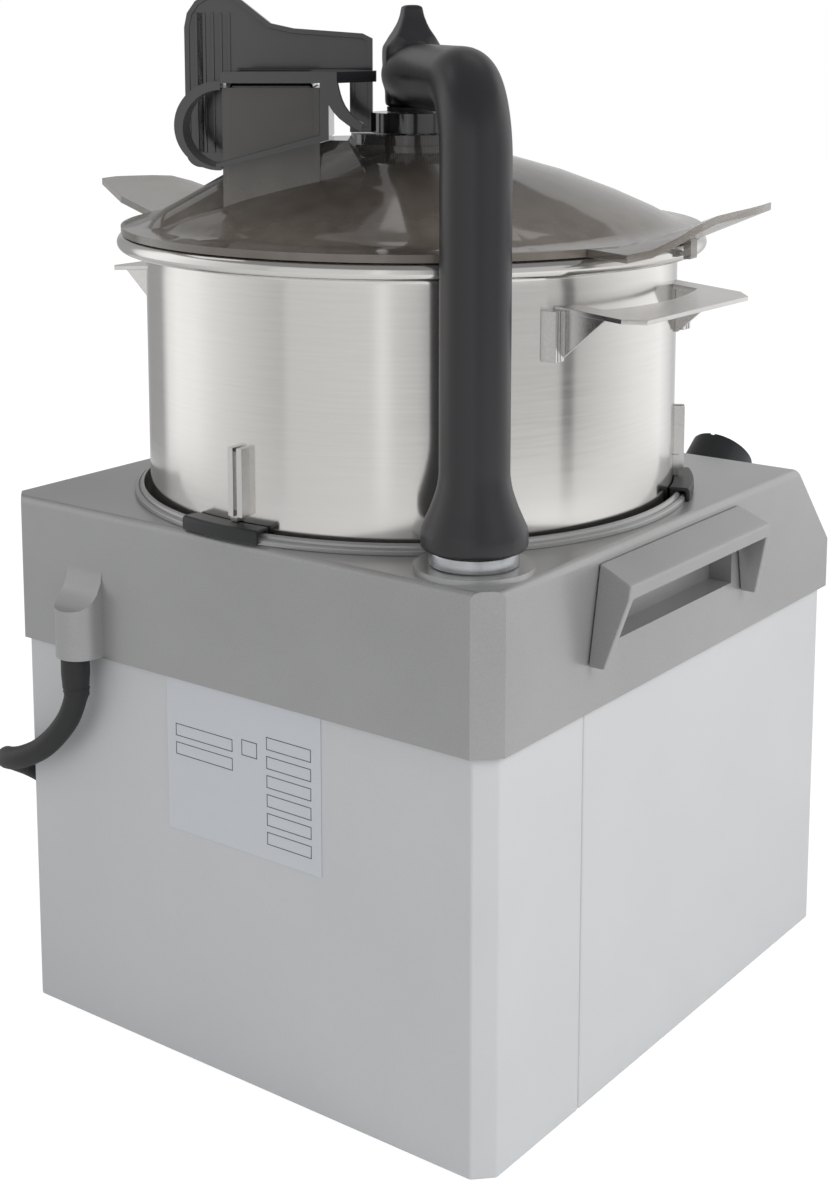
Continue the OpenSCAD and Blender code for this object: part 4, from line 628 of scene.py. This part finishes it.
class MIXER_OT_stage(bpy.types.Operator):
    """Camera, floor, studio walls and lights"""

    bl_idname = "mixer.stage"
    bl_label = "Stage"

    def execute(self, context):
        """The walls and panels show only in gloss."""
        self.camera(context)
        context.scene.view_settings.view_transform = "Standard"
        self.world(context)
        self.floor()
        self.walls()
        for light in LIGHTS:
            self.light(*light)
        return {"FINISHED"}

    def camera(self, context):
        """Looks down the line of its yaw and pitch: (cos pitch cos yaw, cos pitch sin yaw, -sin pitch)."""
        yaw, pitch = math.radians(CAMERA_YAW), math.radians(CAMERA_PITCH)
        ahead = Vector((math.cos(pitch) * math.cos(yaw), math.cos(pitch) * math.sin(yaw), -math.sin(pitch)))
        data = bpy.data.cameras.new("camera")
        data.lens = CAMERA_LENS
        data.sensor_width = 36
        data.shift_y = CAMERA_SHIFT
        data.clip_end = 50
        camera = bpy.data.objects.new("camera", data)
        camera.location = Vector(CAMERA_AT) * MM
        camera.rotation_mode = "QUATERNION"
        camera.rotation_quaternion = ahead.to_track_quat("-Z", "Y")
        context.scene.collection.objects.link(camera)
        context.scene.camera = camera

    def world(self, context):
        """White for what looks straight at it, a dimmer grey for gloss, and an even grey light for the
        rest."""
        world = unlit(bpy.data.worlds, "studio")
        tree = world.node_tree
        path = node(tree, "ShaderNodeLightPath")
        clear = node(tree, "ShaderNodeMath", {0: path.outputs["Is Camera Ray"],
                                              1: path.outputs["Is Transmission Ray"]}, operation="MAXIMUM")
        dim = node(tree, "ShaderNodeMapRange", {"Value": path.outputs["Is Glossy Ray"], "To Min": SKY_LIGHT,
                                                "To Max": SKY_GLOSS})
        soft = node(tree, "ShaderNodeBackground", {"Color": SKY_COLOUR, "Strength": dim.outputs["Result"]})
        white = node(tree, "ShaderNodeBackground", {"Color": (1, 1, 1, 1), "Strength": 1.0})
        mix = node(tree, "ShaderNodeMixShader", {0: clear.outputs[0], 1: soft.outputs[0],
                                                 2: white.outputs[0]})
        node(tree, "ShaderNodeOutputWorld", {"Surface": mix.outputs[0]})
        context.scene.world = world

    def floor(self):
        """A pale disc that keeps the object's shadow and looks nearly white to the camera."""
        circle = ring(FLOOR_R, 0)
        obj = mesh_piece("floor", circle, [range(len(circle))], sharp=None)
        made = unlit(bpy.data.materials, "white_paper_sweep")
        tree = made.node_tree
        path = node(tree, "ShaderNodeLightPath")
        paper = node(tree, "ShaderNodeBsdfDiffuse", {"Color": (PAPER, PAPER, PAPER, 1)})
        glow = node(tree, "ShaderNodeEmission", {"Color": (1, 1, 1, 1), "Strength": FLOOR_GLOW})
        share = node(tree, "ShaderNodeMath", {0: path.outputs["Is Camera Ray"], 1: GLOW_SHARE},
                     operation="MULTIPLY")
        mix = node(tree, "ShaderNodeMixShader", {0: share.outputs[0], 1: paper.outputs[0],
                                                 2: glow.outputs[0]})
        node(tree, "ShaderNodeOutputMaterial", {"Surface": mix.outputs[0]})
        obj.data.materials.append(made)

    def walls(self):
        """An upright grey wall round the object, with its level for each angle, and the panels above it."""
        toward = math.degrees(math.atan2(CAMERA_AT[1], CAMERA_AT[0]))
        foot = ring(WALL_R, WALL_FOOT)
        quads = grid_faces(2, len(foot))[:len(foot)]
        obj = mesh_piece("grey_wall", np.vstack([foot, foot + (0, 0, WALL_TALL)]), quads)
        made = unlit(bpy.data.materials, "grey_studio_wall")
        tree = made.node_tree
        place = node(tree, "ShaderNodeTexCoord").outputs["Object"]
        turned = node(tree, "ShaderNodeMapping", {"Vector": place, "Rotation": (0, 0, -math.radians(toward))})
        angle = node(tree, "ShaderNodeTexGradient", {"Vector": turned.outputs[0]}, gradient_type="RADIAL")
        ramp = node(tree, "ShaderNodeValToRGB", {"Fac": angle.outputs["Fac"]})
        stops = ramp.color_ramp.elements
        while len(stops) < len(WALL_LEVELS):
            stops.new(0.5)
        for stop, (degrees, level) in zip(stops, WALL_LEVELS):
            stop.position = degrees / 360 + 0.5
            stop.color = (level, level, level, 1)
        self.gloss_only(obj, made, ramp.outputs["Color"])
        for name, degrees, *shape in PANELS:
            self.panel(name, math.radians(toward + degrees), *shape)

    def panel(self, name, azimuth, height, wide, tall, level):
        """A bright rectangle above the wall, turned to the object."""
        up = math.radians(height)
        out = np.array([math.cos(up) * math.cos(azimuth), math.cos(up) * math.sin(azimuth), math.sin(up)])
        side = np.array([-math.sin(azimuth), math.cos(azimuth), 0])
        top = np.cross(side, -out)
        at = PANEL_AWAY * out + (0, 0, PANEL_PIVOT)
        corners = [at + side * wide / 2 * x + top * tall / 2 * y
                   for x, y in ((-1, -1), (1, -1), (1, 1), (-1, 1))]
        obj = mesh_piece(name, corners, [range(4)], sharp=None)
        self.gloss_only(obj, unlit(bpy.data.materials, name), (level, level, level, 1))

    def gloss_only(self, obj, material, glow):
        """Gives a piece of the studio its glow, a colour or a link, and hides it from all but gloss."""
        light = node(material.node_tree, "ShaderNodeEmission", {"Color": glow, "Strength": 1.0})
        node(material.node_tree, "ShaderNodeOutputMaterial", {"Surface": light.outputs[0]})
        obj.data.materials.append(material)
        obj.visible_camera = False
        obj.visible_diffuse = False
        obj.visible_shadow = False
        obj.visible_transmission = False

    def light(self, name, place, size, power, colour):
        """A square soft box aimed at the middle of the object."""
        data = bpy.data.lights.new(name, "AREA")
        data.shape = "SQUARE"
        data.size = size
        data.energy = power
        data.color = colour
        obj = bpy.data.objects.new(name, data)
        obj.location = place
        obj.rotation_euler = (Vector((0, 0, LIGHT_AIM)) - Vector(place)).to_track_quat("-Z", "Y").to_euler()
        obj.visible_glossy = False
        bpy.context.scene.collection.objects.link(obj)


class MIXER_OT_lead(bpy.types.Operator):
    """Mains lead, its coil, its boot and its plug"""

    bl_idname = "mixer.lead"
    bl_label = "Mains lead"

    def execute(self, context):
        """The lead is one smooth line through the route's points and the coil's turns. Along the boot the
        radius is its start less the taper times the share run, and past the plain share a rib times its
        cosine."""
        route = base_frame(np.vstack([smooth_run(LEAD_ROUTE, LEAD_STEPS), coil_run()]))
        rubber = lead_rubber()
        lead = tube("mains_lead", route, np.full(len(route), LEAD_D / 2 * MM), LEAD_SIDES)
        dress(lead, rubber, "machine", ["power_cord", "power_cord_coil"])
        boot_line = route[:BOOT_POINTS]
        down = np.concatenate([[0], np.cumsum(np.linalg.norm(np.diff(boot_line, axis=0), axis=1))])
        share = down / down[-1]
        rib = BOOT_RIB * np.cos(share * BOOT_WAVES) * (share > BOOT_PLAIN_SHARE)
        boot_path = np.vstack([boot_line[:1] + (0, 0, BOOT_REACH * MM), boot_line])
        boot_radii = np.concatenate([[BOOT_R], BOOT_R - BOOT_TAPER * share + rib])
        boot = tube("lead_boot", boot_path, boot_radii * MM, BOOT_SIDES)
        dress(boot, rubber, "machine", ["lead_gland"])
        plug = softened(["power_plug"], "plug_body", sizes().cast_round, rubber, "machine", 3)
        refinish(brass(), "brass", "plug_pins")
        return {"FINISHED"}


class MIXER_OT_housing(bpy.types.Operator):
    """Cast top housing, side grips and sheet covers"""

    bl_idname = "mixer.housing"
    bl_label = "Housing"

    def execute(self, context):
        """The castings and sheets keep their CAD shape and get rounded edges."""
        s = sizes()
        cast = cast_lacquer()
        sheet = cover_sheet()
        softened(["top_housing"], "cast_housing", s.cast_round, cast, "machine", 3)
        softened(["bowl_seat"], "seat_ring", s.fine_round, cast, "machine")
        for side in ("left", "right"):
            softened([f"side_grip_{side}"], f"grip_{side}", s.mould_round, cast, "machine", 3)
        for side in ("rear", "front"):
            softened([f"{side}_cover"], f"sheet_{side}", s.sheet_round, sheet, "machine")
        softened(["bowl_clips"], "ring_clips", s.mould_round, satin_black(), "machine")
        softened(["arm_collar"], "post_collar", s.mould_round, turned_steel(), "machine")
        softened(["feet"], "rubber_feet", s.mould_round, lead_rubber(), "machine")
        return {"FINISHED"}


class MIXER_OT_rear_plate(bpy.types.Operator):
    """Blank rating plate with empty ruled boxes"""

    bl_idname = "mixer.rear_plate"
    bl_label = "Rear plate"

    def execute(self, context):
        """The plate is film; each box is a frame of four thin inked bars on its face."""
        softened(["rear_plate"], "rating_film", sizes().fine_round / 2, label_film(), "machine")
        low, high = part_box("rear_plate")
        wide, tall = high.x - low.x, high.z - low.z
        points, faces = [], []
        for x0, z0, x1, z1 in BOX_SHARES:
            left, right = high.x - x0 * wide, high.x - x1 * wide
            bottom, top = low.z + z0 * tall, low.z + z1 * tall
            bars = ((right, bottom, left, bottom + RULE_WIDE), (right, top - RULE_WIDE, left, top),
                    (right, bottom, right + RULE_WIDE, top), (left - RULE_WIDE, bottom, left, top))
            for xa, za, xb, zb in bars:
                faces += [[len(points) + i for i in face] for face in BAR_FACES]
                points += [(x, y, z) for y in (high.y, high.y + RULE_DEEP)
                           for x, z in ((xa, za), (xb, za), (xb, zb), (xa, zb))]
        rules = outward(mesh_piece("rating_rules", points, faces, sharp=None))
        dress(rules, ink(), "machine")
        return {"FINISHED"}


class MIXER_OT_bowl(bpy.types.Operator):
    """Spun bowl with its rolled rim, handles and lugs"""

    bl_idname = "mixer.bowl"
    bl_label = "Bowl"

    def execute(self, context):
        """The bowl is its wall's outline turned about the axis; its fittings keep their CAD shape."""
        dress(lathe("spun_bowl", self.outline(), AXIS), bowl_steel(), "machine", ["bowl_shell"])
        s = sizes()
        for side in ("left", "right"):
            softened([f"bowl_handle_{side}"], f"handle_{side}", s.fine_round, pressed_steel(), "machine")
        softened(["bowl_lugs"], "folded_lugs", s.fine_round, pressed_steel(), "machine")
        return {"FINISHED"}

    def outline(self):
        """From the tube out along the underside, up the wall, round the rolled rim, and back down the
        inside."""
        wall, sheet, roll, tube_r = BOWL_R, BOWL_SHEET, BOWL_ROLL, BOWL_TUBE_R
        low, high = BOWL_LOW.z, BOWL_HIGH.z
        rim = BOWL_HIGH.x - AXIS[0]
        corner_at = (wall - BOWL_CORNER, low + BOWL_CORNER)
        return np.vstack([
            [(tube_r, low), *[(wall * share, low) for share in FLOOR_RING_SHARES]],
            arc(corner_at, BOWL_CORNER, -90, 0),
            [*[(wall, low + up) for up in OUTER_RINGS], (wall, high - NECK_ROLLS * roll)],
            arc((wall + roll, high - THROAT_ROLLS * roll), roll, 180, 110, steps=5),
            arc((rim - roll, high - roll), roll * ROLL_SHARE, -150, 90, steps=20),
            [(wall + roll, high), (wall + sheet, high)],
            arc((wall, high - sheet), sheet, 90, 180, steps=5),
            [(wall - sheet, high - INNER_RING_DOWN), (wall - sheet, low + INNER_RING_UP)],
            arc(corner_at, BOWL_CORNER - sheet, 0, -90),
            [(wall * INNER_FLOOR_SHARE, low + sheet), (tube_r + 2 * sheet, low + sheet),
             (tube_r + sheet, low + 2 * sheet), (tube_r + sheet, low + BOWL_TUBE_H),
             (tube_r, low + BOWL_TUBE_H)],
        ])


class MIXER_OT_lid(bpy.types.Operator):
    """Smoked lid with its wings, seal and bush"""

    bl_idname = "mixer.lid"
    bl_label = "Lid"

    def execute(self, context):
        """The lid keeps its CAD shape, with moulded edges."""
        s = sizes()
        softened(["lid_dome"], "smoked_dome", s.mould_round, smoked_moulding(), "lid", 3)
        softened(["lid_wings"], "smoked_wings", s.mould_round, smoked_wing(), "lid")
        refinish(ivory_acetal(), "ivory_plastic", "lid_seal", "scraper_bush")
        return {"FINISHED"}


def rib_edge(reach, lean, hook, drop):
    """An edge of the rib from its top: distance = reach - lean t - hook t4, height = top - drop t."""
    t = np.linspace(0, 1, RIB_POINTS)
    return np.stack([reach - lean * t - hook * t**4, RIB_TOP - drop * t], -1)


def feed_plate(name, outline, face, thick, rounding, material):
    """A plate beside the feed cup: an outline of (distance from the axis, height) points in millimetres, in
    the upright plane through the cup's direction, pushed out from the axis by face and given a thickness
    inwards."""
    along = np.array([math.cos(FEED_ANGLE), math.sin(FEED_ANGLE), 0])
    off = np.array([-along[1], along[0], 0])
    flat = np.asarray(outline, float) * MM
    sides = [np.array([*AXIS, 0]) + flat[:, :1] * along + flat[:, 1:] * (0, 0, 1) + o * MM * off
             for o in (face - thick, face)]
    n = len(flat)
    rim = [(i, (i + 1) % n, (i + 1) % n + n, i + n) for i in range(n)]
    faces = [range(n), range(2 * n - 1, n - 1, -1), *rim]
    obj = outward(mesh_piece(name, np.vstack(sides), faces, sharp=None))
    obj.data.shade_smooth()
    round_edges(obj, rounding)
    return dress(obj, material, "feed")


class MIXER_OT_feed(bpy.types.Operator):
    """Feed cup with its black frame"""

    bl_idname = "mixer.feed"
    bl_label = "Feed cup"

    def execute(self, context):
        """Cup and frame keep their CAD shape, with moulded edges. A curved rib runs from the strip to the
        hub."""
        s = sizes()
        softened(["feed_cup"], "smoked_cup", 4 * s.mould_round, smoked_black(), "feed", 3)
        softened(["cup_frame"], "cup_handle", s.mould_round, black_moulding(), "feed")
        outline = np.vstack([rib_edge(*RIB_OUTER), rib_edge(*RIB_INNER)[::-1]])
        feed_plate("strip_rib", outline, CUP_FACE, RIB_THICK, s.fine_round, black_moulding())
        return {"FINISHED"}


class MIXER_OT_scraper(bpy.types.Operator):
    """Scraper lever, shaft, frame and wipers"""

    bl_idname = "mixer.scraper"
    bl_label = "Scraper"

    def execute(self, context):
        """The lever and the frame keep their CAD shape with moulded edges; the rest is refinished."""
        s = sizes()
        softened(["scraper_lever"], "ribbed_lever", s.fine_round, black_moulding(), "scraper")
        softened(["scraper_frame"], "wiper_frame", s.mould_round, ivory_acetal(), "scraper")
        refinish(turned_steel(), "machined_steel", "scraper_shaft")
        refinish(lead_rubber(), "rubber", "scraper_wipers")
        return {"FINISHED"}


class MIXER_OT_arm(bpy.types.Operator):
    """Moulded safety arm"""

    bl_idname = "mixer.arm"
    bl_label = "Safety arm"

    def execute(self, context):
        """Flare, tube, bend, end and thumb tab flow into one moulding."""
        blended(["safety_arm"], "moulded_arm", voxel=1.2 * MM, passes=10, material=arm_moulding(), body="arm")
        refinish(lead_rubber(), "rubber", "arm_pad")
        refinish(turned_steel(), "machined_steel", "arm_shaft")
        refinish(ivory_acetal(), "ivory_plastic", "arm_cam")
        refinish(red_acetal(), "red_plastic", "switch_plunger")
        return {"FINISHED"}


class MIXER_OT_knife(bpy.types.Operator):
    """Knife hub, blades and nut"""

    bl_idname = "mixer.knife"
    bl_label = "Knife"

    def execute(self, context):
        """The hub is moulded acetal and the blades are ground steel."""
        s = sizes()
        softened(["knife_hub"], "moulded_hub", s.mould_round, ivory_acetal(), "rotor")
        softened(["knife_nut"], "grip_nut", s.mould_round, ivory_acetal(), "rotor")
        refinish(ground_blade(), "blade_steel", "lower_blades", "upper_blades")
        return {"FINISHED"}


class MIXER_OT_controls(bpy.types.Operator):
    """Control panel and knob"""

    bl_idname = "mixer.controls"
    bl_label = "Controls"

    def execute(self, context):
        """The panel is a satin overlay and the knob a moulding."""
        s = sizes()
        softened(["control_panel"], "panel_overlay", s.fine_round, satin_black(), "machine")
        softened(["control_knob"], "bar_knob", s.mould_round, satin_black(), "knob", 3)
        return {"FINISHED"}


class MIXER_OT_insides(bpy.types.Operator):
    """Motor, electrics and structure inside the base"""

    bl_idname = "mixer.insides"
    bl_label = "Insides"

    def execute(self, context):
        """Each hidden piece keeps its CAD shape and gets its own finish."""
        refinish(cover_sheet(), "sheet_steel", "bottom_plate")
        refinish(turned_steel(), "machined_steel", "foot_screws", "tie_posts", "motor_top_bell",
                 "motor_bottom_bell", "motor_bolts", "bearings", "motor_shaft", "run_capacitor")
        refinish(core_iron(), "iron", "motor_stator", "motor_rotor")
        refinish(copper_wire(), "copper", "motor_windings")
        refinish(brass(), "brass", "board_standoffs")
        refinish(board_resin(), "board", "control_board")
        refinish(satin_black(), "black_plastic", "rotary_switch", "door_switch", "motor_fan")
        refinish(ivory_acetal(), "ivory_plastic", "arm_bushes", "terminal_block")
        refinish(lead_rubber(), "rubber", "shaft_seal")
        return {"FINISHED"}


PIECES = (MIXER_OT_stage, MIXER_OT_lead, MIXER_OT_housing, MIXER_OT_rear_plate, MIXER_OT_bowl, MIXER_OT_lid,
          MIXER_OT_feed, MIXER_OT_scraper, MIXER_OT_arm, MIXER_OT_knife, MIXER_OT_controls, MIXER_OT_insides)


class MIXER_PT_panel(bpy.types.Panel):
    """Lists the mixer's pieces in the sidebar"""

    bl_label = "Cutter mixer"
    bl_space_type = "VIEW_3D"
    bl_region_type = "UI"
    bl_category = "Cutter mixer"

    def draw(self, context):
        """The sizes first, then a button for each piece."""
        for name in MixerSizes.__annotations__:
            self.layout.prop(context.scene.cutter_mixer, name)
        for piece in PIECES:
            self.layout.operator(piece.bl_idname)


CLASSES = (MixerSizes, *PIECES, MIXER_PT_panel)


def register():
    for c in CLASSES:
        bpy.utils.register_class(c)
    bpy.types.Scene.cutter_mixer = bpy.props.PointerProperty(type=MixerSizes)


def unregister():
    del bpy.types.Scene.cutter_mixer
    for c in reversed(CLASSES):
        bpy.utils.unregister_class(c)


def main():
    """Builds every piece in order."""
    register()
    for piece in PIECES:
        group, name = piece.bl_idname.split(".")
        getattr(getattr(bpy.ops, group), name)()


if __name__ == "__main__":
    main()
